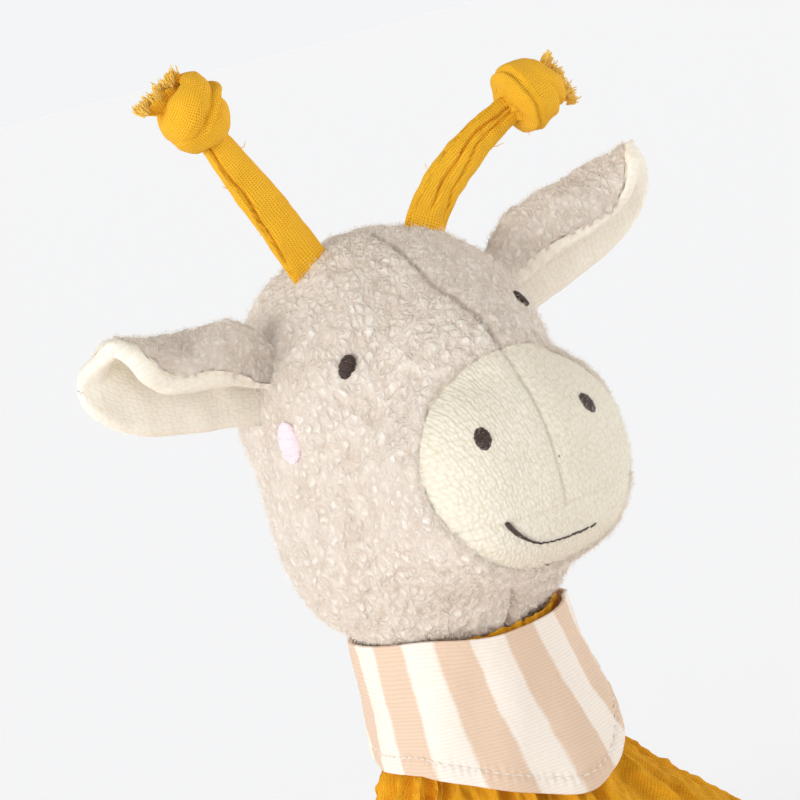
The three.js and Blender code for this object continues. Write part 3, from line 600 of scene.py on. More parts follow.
# Middle surface of an ear: s runs from root to tip, t from the lower rim to the rim of the flap.
def earMiddle(side, s, t):
    index = 0 if side < 0 else 1
    ends = []
    for up in (0, ears["rootLength"], ears["rootLength"] / 2):
        origin = np.array([0.0, ears["rootY"], ears["rootUp"][index] + up])
        ends.append(onSkin(origin[None], np.array([[1.0, 0.0, 0.0]]))[0])
    rootRise = normalize(ends[1] - ends[0])
    away = np.array([rootRise[2], 0, -rootRise[0]])
    root = ends[2] + away * 0.85
    opened = smooth(0, 0.4, s)
    taper = np.sqrt(np.maximum(0, 1 - np.maximum(0, (s - 0.58) / 0.425) ** 2))
    radius = ears["rootRoll"] + (ears["roll"] - ears["rootRoll"]) * opened
    turn = np.radians(ears["turn"] + (ears["tipTurn"] - ears["turn"]) * smooth(0.6, 1, s))
    height = (ears["rootHeight"] + (ears["height"] - ears["rootHeight"]) * opened) * taper
    flap = (ears["rootFlap"] + (ears["flap"] - ears["rootFlap"]) * opened) * taper
    crown = radius * np.sin(np.minimum(turn, math.pi / 2)) + flap * np.maximum(0, np.cos(turn))
    straight = height - crown
    total = straight + radius * turn + flap
    length = total * (t + 1) / 2
    angle = np.clip((length - straight) / radius, 0, turn)
    rest = length - straight - radius * angle
    ahead = np.where(length < straight, 0, radius * (1 - np.cos(angle)) + rest * np.sin(angle))
    up = np.where(length < straight, length, straight + radius * np.sin(angle) + rest * np.cos(angle))
    lean = smooth(0, 0.45, s)[..., None]
    rise = normalize(rootRise * (1 - lean) + np.array([0, 0, 1.0]) * lean)
    out = np.array([ears["length"], -ears["sweep"], ears["rise"][index]])
    place = root + s[..., None] * out + rise * (up - height / 2)[..., None]
    place = place + ahead[..., None] * np.array([0, -1.0, 0])
    return place * np.array([side, 1, 1]), total, length


# One face of an ear over a range of the section loop, with its normals and cloth coordinates.
def earShell(side, s, t, offset):
    step = 0.006
    middle, total, length = earMiddle(side, s, t)
    along = middle - earMiddle(side, s - step, t)[0]
    across = earMiddle(side, s, t + step)[0] - earMiddle(side, s, t - step)[0]
    normals = -normalize(np.cross(along, across)) * side
    pinch = 0.4 + 0.6 * smooth(0, 0.2, s)
    tip = np.sqrt(np.clip((1.02 - s) / 0.12, 0.05, 1))
    skin = middle + normals * (offset * pinch * tip)[..., None]
    # the root follows the head, a little under its fleece
    root = skin[:1]
    held = ontoHead(root) - normalize(root - headCore) * ears["sewn"]
    skin = skin + (held - root) * (1 - smooth(-0.04, 0.24, s))[..., None]
    # the tip closes on itself
    closed = np.sqrt(np.clip((np.arange(len(s))[::-1]) / 9, 0, 1))[:, None, None]
    centre = earMiddle(side, s[:, :1], np.zeros_like(s[:, :1]) + 0.1)[0]
    skin = centre + (skin - centre) * (0.03 + 0.97 * closed)
    return skin, normals, total, length


# Ear lining: the same velour, brushed flatter so it looks soft rather than knitted, its colours painted paler than
# the muzzle's as painted light.
earVelourPaintedLight = {"shade": "#eddcbd", "body": "#f4ebd9", "tip": "#fbf5ea", "row": 0.8, "loop": 1.25, "relief": 0.35}
earVelourCloth = velourMaterial("cream ear velour painted lighter", earVelourPaintedLight)


# Width of the velour that shows in front of the rolled flap, below the fleece.
def earBand(side, s):
    if side < 0:
        return 0.5 + 5.2 * smooth(0.06, 0.55, s) + 2.6 * smooth(0.55, 0.8, s) + 6 * smooth(0.88, 0.99, s)
    return 2.2 + 0.8 * smooth(0.3, 0.8, s) + 5 * smooth(0.9, 1.0, s)


# How far the rolled top of an ear sinks at mid length and stands up near the head.
def earSag(side, s, t):
    low, place = (3.9, 0.52) if side < 0 else (3.4, 0.58)
    top = smooth(0.0, 0.35, t) * (1 - 0.8 * smooth(0.5, 1.0, t))
    sag = (low * groove(s - place, 0.19) - 1.5 * groove(s - 0.15, 0.1)) * top
    return np.array([0, 0, -1.0]) * sag[..., None]


# Loop of the ear section: t and the offset from the middle, from one angle of the loop to another.
def earLoop(total, share):
    edge = 2 * ears["half"] / total
    side = np.abs(share)
    rim = np.clip((side - 0.94) / 0.06, 0, 1) * math.pi / 2
    flat = np.clip(side / 0.94, 0, 1)
    t = np.sign(share) * (flat * (1 - edge) + edge * np.sin(rim))
    return t, ears["half"] * np.cos(rim)


# Rows round an ear, places from its root to its tip, the width there, and t of the seam between the cloths.
def earGrid(side, rows, columns=150):
    row = np.linspace(0, 1, rows)[None, :]
    s = -0.035 + 1.033 * (1 - (1 - np.linspace(0, 1, columns)) ** 1.5)[:, None]
    s = np.broadcast_to(s, (columns, rows))
    total = earMiddle(side, s, np.zeros_like(s))[1]
    return row, s, total, np.clip(0.985 - 2 * earBand(side, s) / total, -0.2, 1)


def makeEar(side, name):
    # Fleece from the lower rim up the back, over the roll and down the flap to its seam.
    row, s, total, seamAt = earGrid(side, 84)
    t, offset = earLoop(total, -0.96 + row * (np.minimum(seamAt + 0.06, 1) + 0.96))
    skin, normals, total, length = earShell(side, s, t, offset)
    fromSeam = (seamAt - t) * total / 2
    lumps = 0.35 * noiseField(skin, 9, 4 + side)
    tuck = 0.6 * groove(fromSeam, 0.8)
    puff = 0.45 * groove(fromSeam - 2.6, 1.8)
    rim = 0.8 * groove(t + 1, 0.16)
    skin = skin + normals * (lumps + puff - tuck - rim - 0.3)[..., None] + earSag(side, s, t)
    piled, pile = pileShape(skin, normals, 2.0 + side)
    fleeceObject = gridObject("ear_fleece_" + name, piled, stacked(s * ears["length"], length), fleeceCloth)
    # painted shade: darker where the cloth tucks into its seam
    setPile(fleeceObject, pile * (1 - 0.5 * np.clip(tuck, 0, 1)))
    fleeceOut = normals
    # Velour from the seam round the rim of the flap and through the inside to the lower rim.
    row, s, total, seamAt = earGrid(side, 96)
    turnIn, turnUnder = 0.28, 0.92
    outside = seamAt + (1 - seamAt) * np.clip(row / turnIn, 0, 1)
    inside = 1 - 2 * np.clip((row - turnIn) / 0.64, 0, 1)
    under = -1 + 0.13 * np.clip((row - turnUnder) / 0.08, 0, 1)
    front = row < turnIn
    back = row > turnUnder
    t, offset = earLoop(total, np.where(front, outside, np.where(back, under, inside)))
    offset = np.where(front | back, offset, -offset)
    skin, normals, total, length = earShell(side, s, t, offset)
    outward = np.where((front | back)[..., None], normals, -normals)
    fromSeam = (t - seamAt) * total / 2
    pucker = np.where(front, 0.22 * np.cos(s * ears["length"] * 2.6 + 0.8 * noiseField(skin, 4, 3)), 0)
    pucker = pucker * np.exp(-fromSeam / 3.5)
    tuck = np.where(front, 0.5 * groove(fromSeam, 0.8), 0)
    ripple = 0.3 * noiseField(skin, 6, 8 + side)
    wrap = 0.4 * np.where(back, 1.0, 0.0) * smooth(turnUnder, 0.95, row)
    skin = skin + outward * (pucker + ripple + wrap - tuck)[..., None] + earSag(side, s, t)
    velourObject = gridObject("ear_velour_" + name, skin, stacked(length, s * ears["length"]), earVelourCloth)
    fuzz = fuzzObject("ear_fleece_fibres_" + name, piled, fleeceOut, fleeceFibre, *ears["fleeceFibres"], 22 + side)
    nap = fuzzObject(
        "ear_velour_fibres_" + name, skin, outward, velourFibre, *ears["velourFibres"], 32 + side, 0.05)
    joinFrame(fleeceObject, "ear_" + name, "fleece", "ear_outer_" + name)
    joinFrame(velourObject, "ear_" + name, "velour", "ear_inner_" + name)
    joinFrame(fuzz, "ear_" + name, "fleece")
    joinFrame(nap, "ear_" + name, "velour")


# Gauze: plain-woven mustard muslin, open enough for its threads to be seen one by one; spacing in mm.
# hole is painted shade in the gaps between the threads
gauze = {"hole": "#bf7d0c", "body": "#e8a81c", "thread": "#f8bf30", "spacing": 0.52}


# Coordinates along the threads of a cloth, swayed a little, and those in space.
def threadPlaces(tree, size, amount):
    uvNode = addNode(tree, "ShaderNodeUVMap", uv_map="cloth")
    place = addNode(tree, "ShaderNodeTexCoord").outputs["Object"]
    wobble = addNode(tree, "ShaderNodeTexNoise", {"Vector": place, "Scale": 1 / (size * mm), "Detail": 3.0})
    sway = addNode(tree, "ShaderNodeVectorMath", {
        0: wobble.outputs["Color"], "Scale": amount * mm}, operation="SCALE")
    return addNode(tree, "ShaderNodeVectorMath", {0: uvNode, 1: sway}, operation="ADD"), uvNode, place


# Scale of Blender's wave texture that gives bands of one width in millimetres.
def bandScale(width):
    return 2 * math.pi / (20 * width * mm)


# Woven gauze; its uv runs in metres along the two sets of threads.
def gauzeMaterial(name, spacing, relief, openness):
    material, tree, shader = clothMaterial(name, 0.9, 0.1, "#ffd880")
    shader.inputs["Specular IOR Level"].default_value = 0.3
    bent, _, place = threadPlaces(tree, 3.5, 0.9)
    warp, weft = (addNode(
        tree, "ShaderNodeTexWave", {"Vector": bent, "Scale": bandScale(spacing)}, wave_type="BANDS",
        bands_direction=direction, wave_profile="SIN").outputs["Fac"] for direction in ("X", "Y"))
    weave = addNode(tree, "ShaderNodeMath", {0: warp, 1: weft}, operation="MAXIMUM")
    fluff = addNode(tree, "ShaderNodeTexNoise", {
        "Vector": place, "Scale": 1 / (0.35 * mm), "Detail": 4.0, "Roughness": 0.7})
    wide = addNode(tree, "ShaderNodeTexNoise", {"Vector": place, "Scale": 1 / (11 * mm), "Detail": 3.0})
    woven = addNode(tree, "ShaderNodeMath", {0: weave, 1: openness}, operation="MULTIPLY")
    fluffy = addNode(tree, "ShaderNodeMath", {0: fluff, 1: 0.45}, operation="MULTIPLY")
    level = addNode(tree, "ShaderNodeMath", {0: woven, 1: fluffy}, operation="ADD")
    patches = addNode(tree, "ShaderNodeMath", {0: wide, 1: 0.3}, operation="MULTIPLY")
    shade = addNode(tree, "ShaderNodeMath", {0: level, 1: patches}, operation="ADD")
    # painted shade: the colour darkens to the hole colour in the gaps between the threads
    ramp = addNode(tree, "ShaderNodeValToRGB", {"Fac": shade}, stops=(
        (0.36, gauze["hole"]), (0.6, gauze["body"]), (0.9, gauze["thread"])))
    setSurface(tree, shader, ramp.outputs["Color"], level.outputs[0], 0.8, relief)
    return material


openGauze = gauzeMaterial("open mustard gauze", gauze["spacing"], 0.2, 0.5)
crinkledGauze = gauzeMaterial("crinkled mustard double gauze", 0.45, 0.12, 0.22)
gauzeThread = threadMaterial("mustard gauze thread", "#f6c13e", "#ffdd72", 0.9)

# Horns: a strip of gauze folded lengthwise, knotted at its end, the end frayed beyond the knot. Pairs are
# for the right and the left horn; a crease has its angle, depth, width and drift, a loose thread its place,
# side and length.
horns = {"rootX": 14.8, "rootY": -4.2, "rootRadius": 2.3, "width": 9.2, "neckWidth": 6.2, "thickness": 4.0,
         "knots": ((-33.0, -6.0, 122.6), (46.8, -6.0, 108.4)), "bows": (0.5, -9.0), "fringe": 300,
         "fringeReach": (1.5, 2.7), "fringeHalf": 6.1, "thread": 0.14, "looseThread": 0.09,
         "loose": ((0.25, -1, 4.5), (0.55, -1, 3.4), (0.7, 1, 3.0), (0.93, -1, 5.0), (0.9, 1, 4.2)),
         "creases": (((3.66, 0.48, 0.09, 0.10), (1.2, 0.2, 0.1, 0.3)),
                     ((4.25, 0.5, 0.10, 0.35), (5.2, 0.42, 0.09, -0.3), (1.9, 0.3, 0.1, -0.3)))}


# Middle line of a horn, its direction, the way across it and the way to its back.
def hornLine(side, s):
    index = 0 if side < 0 else 1
    x, y = side * horns["rootX"], horns["rootY"]
    root = onSkin(np.array([[0.0, y, 55.0]]) + np.array([[x, 0, 0]]), np.array([[0, 0, 1.0]]))[0]
    outward = normalize(root - np.array([0, y, 55.0]))
    root = root + outward * (horns["rootRadius"] + 0.3)
    end = np.array(horns["knots"][index])
    middle = (root + end) / 2 + np.array([horns["bows"][index], 0, 0])
    s = np.asarray(s, float)[..., None]
    point = (1 - s) ** 2 * root + 2 * s * (1 - s) * middle + s ** 2 * end
    along = normalize(2 * (1 - s) * (middle - root) + 2 * s * (end - middle))
    across = normalize(np.cross(np.array([0, 1.0, 0]), along))
    return point, along, across


# Folded strip: a flattened roll with a free edge lying along it and deep creases between its layers.
def makeHornStrip(side, name):
    columns, rows = 120, 150
    turn = ringAngles(columns)
    s = np.linspace(-0.09, 0.985, rows)[None, :]
    point, along, across = hornLine(side, np.clip(s, 0, 1))
    point = point + along * (np.minimum(s, 0) * 46)[..., None]
    width = horns["width"] + (horns["neckWidth"] - horns["width"]) * smooth(0.35, 1, s)
    width = width * (1 + 0.06 * smooth(0.25, 0, s))
    thick = horns["thickness"] * (0.72 + 0.28 * smooth(0.0, 0.2, s))
    phase = 0.35 * np.sin(5 * s + side) + 0.12 * np.sin(17 * s)
    # free edge of the fold: the cloth steps up along the low side of the strip
    lip = np.mod(3.58 + 0.10 * s + phase * 0.5 - turn, 2 * math.pi) / (2 * math.pi)
    reach = 1 + 0.30 * np.exp(-lip / 0.08)
    for start, depth, wide, drift in horns["creases"][0 if side < 0 else 1]:
        gap = np.angle(np.exp(1j * (turn - start - drift * s - phase * 0.7)))
        reach = reach - depth * groove(gap, wide) * smooth(0.0, 0.12, s)
    flat = np.sign(np.sin(turn)) * np.abs(np.sin(turn)) ** 0.85
    skin = (point + across * (width / 2 * np.cos(turn) * (1 + (reach - 1) * 0.4))[..., None]
            + np.array([0, 1.0, 0]) * (thick / 2 * flat * reach)[..., None])
    wrinkle = 0.16 * noiseField(skin * np.array([1, 1, 0.45]), 2.2, 3 + side) + 0.12 * noiseField(skin, 5, 9)
    normals = outwardNormals(skin, point)
    skin = skin + normals * wrinkle[..., None]
    length = np.linalg.norm(horns["knots"][0 if side < 0 else 1] - hornLine(side, 0.0)[0])
    obj = gridObject("horn_strip_cloth_" + name, skin, stacked(turn * 3.4, s * length), openGauze, wraps=True)
    joinFrame(obj, "horn_" + name, "gauze", "horn_strip_" + name)


# Wraps of each knot: radius, half width and thickness of the band, where it swells, the roll at its edge,
# how far its edges close on the strip and on the fray, its tilt and its place along the knot.
knotWraps = {
    "right": (
        {"label": "outer", "radius": 6.5, "band": 4.3, "thickness": 1.5, "swell": 0.12, "swellAt": 4.0, "deep": 0.9,
         "roll": 0.35, "rollAt": -1, "close": (0.02, 0.5), "tilt": -28, "lift": 2.4},
        {"label": "inner", "radius": 5.2, "band": 4.2, "thickness": 1.6, "swell": 0.1, "swellAt": 5.4, "deep": 0.92,
         "roll": 0.0, "rollAt": -1, "close": (0.6, 0.1), "tilt": -4, "lift": -2.2}),
    "left": (
        {"label": "outer", "radius": 5.6, "band": 4.2, "thickness": 1.6, "swell": 0.1, "swellAt": 3.6, "deep": 0.9,
         "roll": 0.4, "rollAt": -1, "close": (0.1, 0.5), "tilt": -34, "lift": 2.6},
        {"label": "inner", "radius": 6.5, "band": 4.0, "thickness": 1.5, "swell": 0.12, "swellAt": 4.6, "deep": 0.92,
         "roll": 0.5, "rollAt": -0.7, "close": (0.55, 0.05), "tilt": 6, "lift": -1.6}),
}
knotHeart = {"wide": 7.5, "deep": 6.1, "tall": 7.0, "size": 0.94}


# One wrap of the knot: a flattened band round the heart, pleated lengthwise with rolled edges.
def makeWrap(settings, seed):
    columns, rows = 150, 64
    turn = ringAngles(columns)
    v = np.linspace(0, 2 * math.pi, rows + 1)[None, :]
    radius, band, thick = settings["radius"], settings["band"], settings["thickness"]
    swell = 1 + settings["swell"] * np.cos(turn - settings["swellAt"])
    up = band * swell * np.sign(np.sin(v)) * np.abs(np.sin(v)) ** 0.8 + 0.5 * np.sin(turn * 2 + seed)
    flat = np.sign(np.cos(v)) * np.abs(np.cos(v)) ** 0.45
    closing = np.where(up < 0, settings["close"][0], settings["close"][1])
    ring = radius * (1 + 0.05 * np.sin(2 * turn + seed)) * np.sqrt(np.maximum(0.2, 1 - closing * (up / band) ** 2))
    out = ring + thick * flat * swell
    roll = settings["roll"] * groove(up - settings["rollAt"] * band, 0.9) * (np.cos(v) > 0)
    dent = 0.9 * groove(up - settings["rollAt"] * band * 0.55, 0.5) * (np.cos(v) > 0)
    out = out + roll - dent * (settings["roll"] > 0)
    out = out + 0.22 * np.cos(up * 0.9 + 1.4 * np.sin(turn + seed)) * np.maximum(0, np.cos(v))
    local = np.stack([out * np.cos(turn), out * np.sin(turn) * settings["deep"], up], -1)
    return local, turn


# Places knot-frame points at the end of a horn, their z along the end of the path.
def atKnot(side, local):
    point, along, _ = hornLine(side, 1.0)
    return leaned(local, math.atan2(along[0], along[2])) + point


def makeKnot(side, name):
    for seed, wrap in enumerate(knotWraps[name]):
        local, turn = makeWrap(wrap, seed * 2.0 + side)
        skin = atKnot(side, leaned(local, math.radians(wrap["tilt"])) + np.array([0, 0, wrap["lift"]]))
        skin = skin + 0.22 * wander(skin, 3.2, 4 + seed)
        length = np.cumsum(np.linalg.norm(np.diff(skin, axis=1, prepend=skin[:, :1]), axis=-1), axis=1)
        uv = stacked(turn * (wrap["radius"] + 1.5), length)
        obj = gridObject("horn_knot_%s_wrap_%s" % (wrap["label"], name), skin, uv, openGauze, wraps=True)
        joinFrame(obj, "horn_" + name, "gauze")
    # heart of the knot, creased where the wraps press on it
    columns, rows = 96, 60
    turn = ringAngles(columns)
    polar = np.linspace(0.02, math.pi - 0.02, rows)[None, :]
    local = stacked(
        knotHeart["wide"] * np.sin(polar) * np.cos(turn),
        knotHeart["deep"] * np.sin(polar) * np.sin(turn),
        knotHeart["tall"] * np.cos(polar))
    crease = 1 + 0.035 * np.cos(7 * turn + 3 * np.cos(polar)) + 0.02 * np.cos(13 * turn - 5 * polar)
    skin = atKnot(side, local * (knotHeart["size"] * crease)[..., None])
    obj = gridObject("horn_knot_heart_" + name, skin, stacked(turn * 7, polar * 7), openGauze, wraps=True)
    joinFrame(obj, "horn_" + name, "gauze", "horn_knot_" + name)


# Frayed end: the folded cloth spreading past the knot, then its loose threads.
def makeFray(side, name):
    rng = np.random.default_rng(70 + side)
    columns, rows = 72, 30
    loop = ringAngles(columns)
    s = np.linspace(0, 1, rows)[None, :]
    width = 6.4 + 6.2 * s ** 0.8
    fold = 0.45 * np.sin(np.cos(loop) * 9 + 1.5 * s)
    local = stacked(width / 2 * np.cos(loop) + side * 3.0 * s, (0.85 - 0.3 * s) * np.sin(loop) + fold * (0.5 + s),
                    3.2 + s * 5.4 + 0.5 * np.sin(np.cos(loop) * 5 + 2) * s)
    skin = atKnot(side, local)
    uv = np.stack([local[..., 0], local[..., 2]], -1)
    cloth = gridObject("horn_fray_cloth_" + name, skin, uv, openGauze, wraps=True)
    joinFrame(cloth, "horn_" + name, "gauze", "horn_fray_" + name)
    count, steps = horns["fringe"], 9
    share = np.linspace(0, 1, steps)[None, :]
    place = rng.uniform(-1, 1, count)[:, None]
    start = 7.2 + 0.9 * rng.uniform(0, 1, (count, 1))
    reach = rng.uniform(*horns["fringeReach"], (count, 1)) * (1 + 0.4 * rng.uniform(0, 1, (count, 1)) ** 6)
    lean = place * 0.25 + rng.normal(0, 0.12, (count, 1))
    curl = 0.22 * np.sin(share * 7 + rng.uniform(0, 6, (count, 1))) * share
    depth = 0.45 * np.sin(place * 9) + rng.normal(0, 0.35, (count, 1)) + rng.normal(0, 0.5, (count, 1)) * share
    across = place * horns["fringeHalf"] + side * 2.6 + lean * share * reach + curl
    local = stacked(across, depth, start + share * reach)
    threads = threadObject(
        "horn_fringe_" + name, atKnot(side, local), horns["thread"], gauzeThread, 4, (0.2, 1, 0.1), 0.5)
    joinFrame(threads, "horn_" + name, "gauze")
    # a few loose threads off the edge of the strip and of the knot
    loose = []
    for at, away, long in horns["loose"]:
        point, along, across = hornLine(side, at)
        share = np.linspace(0, 1, steps)[:, None]
        base = point + across * away * (3.6 + 1.2 * (at > 0.8))
        bend = across * away * long * 0.42 + along * long * rng.uniform(-0.4, 0.9) + rng.normal(0, 0.5, 3)
        loose.append(base + bend * share + rng.normal(0, 0.3, 3) * np.sin(share * 5))
    ends = threadObject(
        "horn_loose_threads_" + name, np.array(loose), horns["looseThread"], gauzeThread, 4, (0.2, 1, 0.1), 0.6)
    joinFrame(ends, "horn_" + name, "gauze")


def makeHorn(side, name):
    makeHornStrip(side, name)
    makeKnot(side, name)
    makeFray(side, name)


# Neckerchief: ribbed jersey with cream and tan stripes running down from the neck, and painted shade in the grooves
# of its ribs.
scarf = {"radius": 23.1, "topUp": 0.8, "side": 24, "back": 18, "point": 37, "pointAngle": 8, "pointSpread": 62,
         "flare": 1.0, "frontFlare": 6.0, "opening": 14.0, "cream": "#f3ebe1", "tan": "#e2c8b1",
         "groove": "#f4f1ed", "stripe": 16.4, "rib": 0.75, "hem": 3.8,
         "stitches": 84, "sideRise": 6.0}


def jerseyMaterial():
    material, tree, shader = clothMaterial("striped ribbed jersey", 0.92, 0.35, "#fff4ea")
    bent, uvNode, place = threadPlaces(tree, 16, 3.0)
    stripes = addNode(tree, "ShaderNodeTexWave", {"Vector": bent, "Scale": bandScale(scarf["stripe"])},
                      wave_type="BANDS", bands_direction="X", wave_profile="SIN")
    edge = addNode(tree, "ShaderNodeTexNoise", {"Vector": place, "Scale": 1 / (0.5 * mm), "Detail": 3.0})
    frayed = addNode(tree, "ShaderNodeMath", {0: edge, 1: 0.12}, operation="MULTIPLY")
    ragged = addNode(tree, "ShaderNodeMath", {0: stripes.outputs["Fac"], 1: frayed}, operation="ADD")
    ramp = addNode(tree, "ShaderNodeValToRGB", {"Fac": ragged}, stops=((0.46, scarf["cream"]), (0.62, scarf["tan"])))
    ribs = addNode(tree, "ShaderNodeTexWave", {
        "Vector": uvNode, "Scale": bandScale(scarf["rib"]), "Distortion": 1.2, "Detail": 2.0, "Detail Scale": 1.0},
        wave_type="BANDS", bands_direction="Y", wave_profile="SIN")
    fluff = addNode(tree, "ShaderNodeTexNoise", {
        "Vector": place, "Scale": 1 / (0.45 * mm), "Detail": 4.0, "Roughness": 0.7})
    height = addNode(tree, "ShaderNodeMix", {"Factor": 0.5, 2: ribs.outputs["Fac"], 3: fluff})
    # painted shade: darker towards the groove colour between the ribs
    shade = addNode(tree, "ShaderNodeValToRGB", {"Fac": height}, stops=((0.1, scarf["groove"]), (0.6, "#ffffff")))
    color = addNode(
        tree, "ShaderNodeMix", {"Factor": 1.0, 6: ramp, 7: shade}, data_type="RGBA", blend_type="MULTIPLY")
    setSurface(tree, shader, color.outputs[2], height.outputs[0], 0.5, 0.16)
    return material


jersey = jerseyMaterial()
seamThread = threadMaterial("cream sewing thread", "#efe6dc", "#fbf5ee", 0.7)


# How far the lower edge hangs below the neck line, by angle from the front.
def scarfDrop(angle):
    away = np.sqrt((angle - scarf["pointAngle"]) ** 2 + 10 ** 2) - 7
    point = np.maximum(0, 1 - away / scarf["pointSpread"]) ** 1.2
    back = smooth(90, 180, np.abs(angle))
    raised = scarf["sideRise"] * smooth(24, 62, angle) * (1 - smooth(95, 135, angle))
    side = scarf["side"]
    return side + (scarf["point"] - side) * point + (scarf["back"] - side) * back - raised


# Point of the neckerchief: angle from the front, share of the way down and distance off its inner face.
def scarfPoint(angle, share, lift):
    fallen = scarfDrop(angle) + scarf["topUp"]
    turn = np.radians(angle - 90)
    top = scarf["topUp"] + 2.9 * smooth(-5, -55, angle) * smooth(-175, -120, angle) + 0.8 * smooth(25, 70, angle)
    down = share * fallen
    front = scarf["frontFlare"] * smooth(130, 60, np.abs(angle - 10))
    radius = scarf["radius"] + (scarf["flare"] + front) * smooth(0, 37, down) + lift
    wave = 0.5 * np.sin(5 * turn + 1) * smooth(10, 30, down)
    crease = 0.6 * groove(angle - 58 - 0.5 * down, 5) - 0.5 * groove(angle - 66 - 0.5 * down, 5)
    soft = 0.35 * np.sin(11 * turn + 0.12 * down + 1) * smooth(2, 14, down)
    hem = smooth(4.4, 3.2, fallen - down)
    pucker = 0.2 * np.sin(turn * 118 + 1.3 * np.sin(turn * 17)) * groove(fallen - down - 3.6, 1.6)
    stitch = -0.32 * groove(fallen - down - scarf["hem"], 0.4)
    radius = radius + wave - crease + soft + (pucker + stitch + 0.12 * hem) * (lift > 0.6)
    level = scarf["topUp"] - down + (top - scarf["topUp"]) * (1 - smooth(0, 12, down))
    return np.stack([radius * np.cos(turn), radius * np.sin(turn), level], -1)


def makeNeckerchief():
    columns, rows = 420, 150
    angle = (np.linspace(0, 1, columns)[:, None] - 0.5) * (360 - scarf["opening"])
    loop = np.linspace(0, 2 * math.pi, rows, endpoint=False)[None, :]
    middle, half = 0.95, 0.5
    share = np.clip(0.5 - 0.5 * np.cos(loop), 0, 1)
    outer = np.sin(loop) >= 0
    level = np.clip(np.abs(np.sin(loop)) * 6, 0, 1)
    lift = np.where(outer, middle + half * level, middle - half * level)
    share, lift, angle = np.broadcast_arrays(share, lift, angle)
    skin = scarfPoint(angle, share, lift)
    fine = 0.09 * noiseField(skin, 1.6, 5) + 0.22 * noiseField(skin, 7, 6)
    outward = skin * np.array([1, 1, 0])
    skin = skin + normalize(outward) * fine[..., None]
    down = share * (scarfDrop(angle) + scarf["topUp"])
    uv = stacked(np.radians(angle) * 26 + 5.7 - 0.15 * down, down)
    obj = gridObject(
        "neckerchief_jersey", skin.transpose(1, 0, 2), uv.transpose(1, 0, 2), jersey, wraps=True)
    joinFrame(obj, "neckerchief", "jersey", "neckerchief")
    # hem stitches along the lower edge
    start = np.linspace(-160, 160, scarf["stitches"])[:, None]
    step = np.linspace(0, 1, 6)[None, :]
    spot = start + step * 2.3
    drop = scarfDrop(spot) + scarf["topUp"]
    share = (drop - scarf["hem"]) / drop
    bulge = 0.1 * np.sin(step * math.pi) - 0.06
    paths = scarfPoint(spot, share, 1.62 + bulge)
    thread = threadObject("neckerchief_hem_thread", paths, 0.16, seamThread, 5, (0.1, 0.2, 1), 0.4)
    joinFrame(thread, "neckerchief", "jersey")


# Tie at the back: a small firm knot of the same jersey, with creases across it.
tie = {"halfLength": 6.8, "deep": 4.3, "tall": 5.8, "back": 25.7, "down": 8.0}


def makeTie():
    columns, rows = 120, 70
    turn = ringAngles(columns)
    polar = np.linspace(0.02, math.pi - 0.02, rows)[None, :]
    x = tie["halfLength"] * np.sign(np.cos(polar)) * np.abs(np.cos(polar)) ** 0.9
    belly = np.sin(polar) ** 0.8
    crease = 1 + 0.05 * np.cos(x * 2.2 + 0.8 * np.sin(turn))
    crease = crease - 0.10 * groove(x - 2.6 - 0.6 * np.sin(turn), 0.6)
    crease = crease - 0.10 * groove(x + 2.4 + 0.5 * np.sin(turn + 1), 0.6)
    y = tie["deep"] * belly * np.cos(turn) * crease
    up = tie["tall"] * belly * np.sin(turn) * crease
    skin = stacked(x, y + tie["back"], up - tie["down"])
    obj = gridObject("neckerchief_knot", skin, stacked(x + 3, 6 * turn), jersey, wraps=True)
    joinFrame(obj, "neckerchief", "jersey", "neckerchief_tie")


# Gathered frill of the cloth where it is sewn to the jaw.
gather = {"radius": 21.5, "pleats": 22, "top": 1.2, "bottom": -8.0, "tuck": 9.0, "rollFrom": 0.72}


def makeGather():
    columns, rows = 520, 60
    turn = ringAngles(columns)
    v = np.linspace(0, 1, rows)[None, :]
    rise = np.clip(v / gather["rollFrom"], 0, 1)
    over = np.clip((v - gather["rollFrom"]) / 0.28, 0, 1)
    ring = turn + 0.05 * np.sin(5 * turn + 1) + 0.02 * np.sin(13 * turn)
    pleat = np.cos(gather["pleats"] * ring)
    size = 0.75 + 0.35 * np.sin(3 * turn + 2) + 0.2 * np.sin(7 * turn)
    radius = gather["radius"] - gather["tuck"] * (1 - rise) ** 2
    radius = radius + (0.55 * pleat * size + 0.3 * np.cos(2 * gather["pleats"] * ring + 1)) * (0.4 + 0.6 * rise)
    radius = radius - 1.35 * np.sin(over * math.pi / 2) ** 2 * (1 + 0.15 * pleat)
    up = gather["bottom"] + rise * (gather["top"] - gather["bottom"])
    up = up + 0.55 * pleat * size * smooth(0.5, 1, rise) + 0.25 * np.sin(over * math.pi) - 1.6 * over ** 2
    skin = stacked(radius * np.cos(turn), radius * np.sin(turn), up)
    skin = skin + 0.22 * wander(skin, 1.8, 2)
    obj = gridObject("neck_gather_gauze", skin, stacked(turn * 30, v * 14), crinkledGauze, wraps=True)
    joinFrame(obj, "neck", "gauze", "neck_gather", "neck_stem")


# Blanket: a square of crinkled double gauze hanging in folds from under the neck.
blanket = {"side": 280.0, "hole": 9.0, "shoulder": 95.7, "folds": 7, "crest": -28.0, "depth": 15.0,
           "foldStart": 44.0, "floorStart": 110.593, "steepTop": 24.0, "steep": 34.0, "spread": (34.0, 66.0),
           "turnStart": 8.0, "turnLength": 14.0, "landing": 26.0, "thickness": 1.1, "softness": 10,
           "swing": 9.0, "swingAt": -38.0}


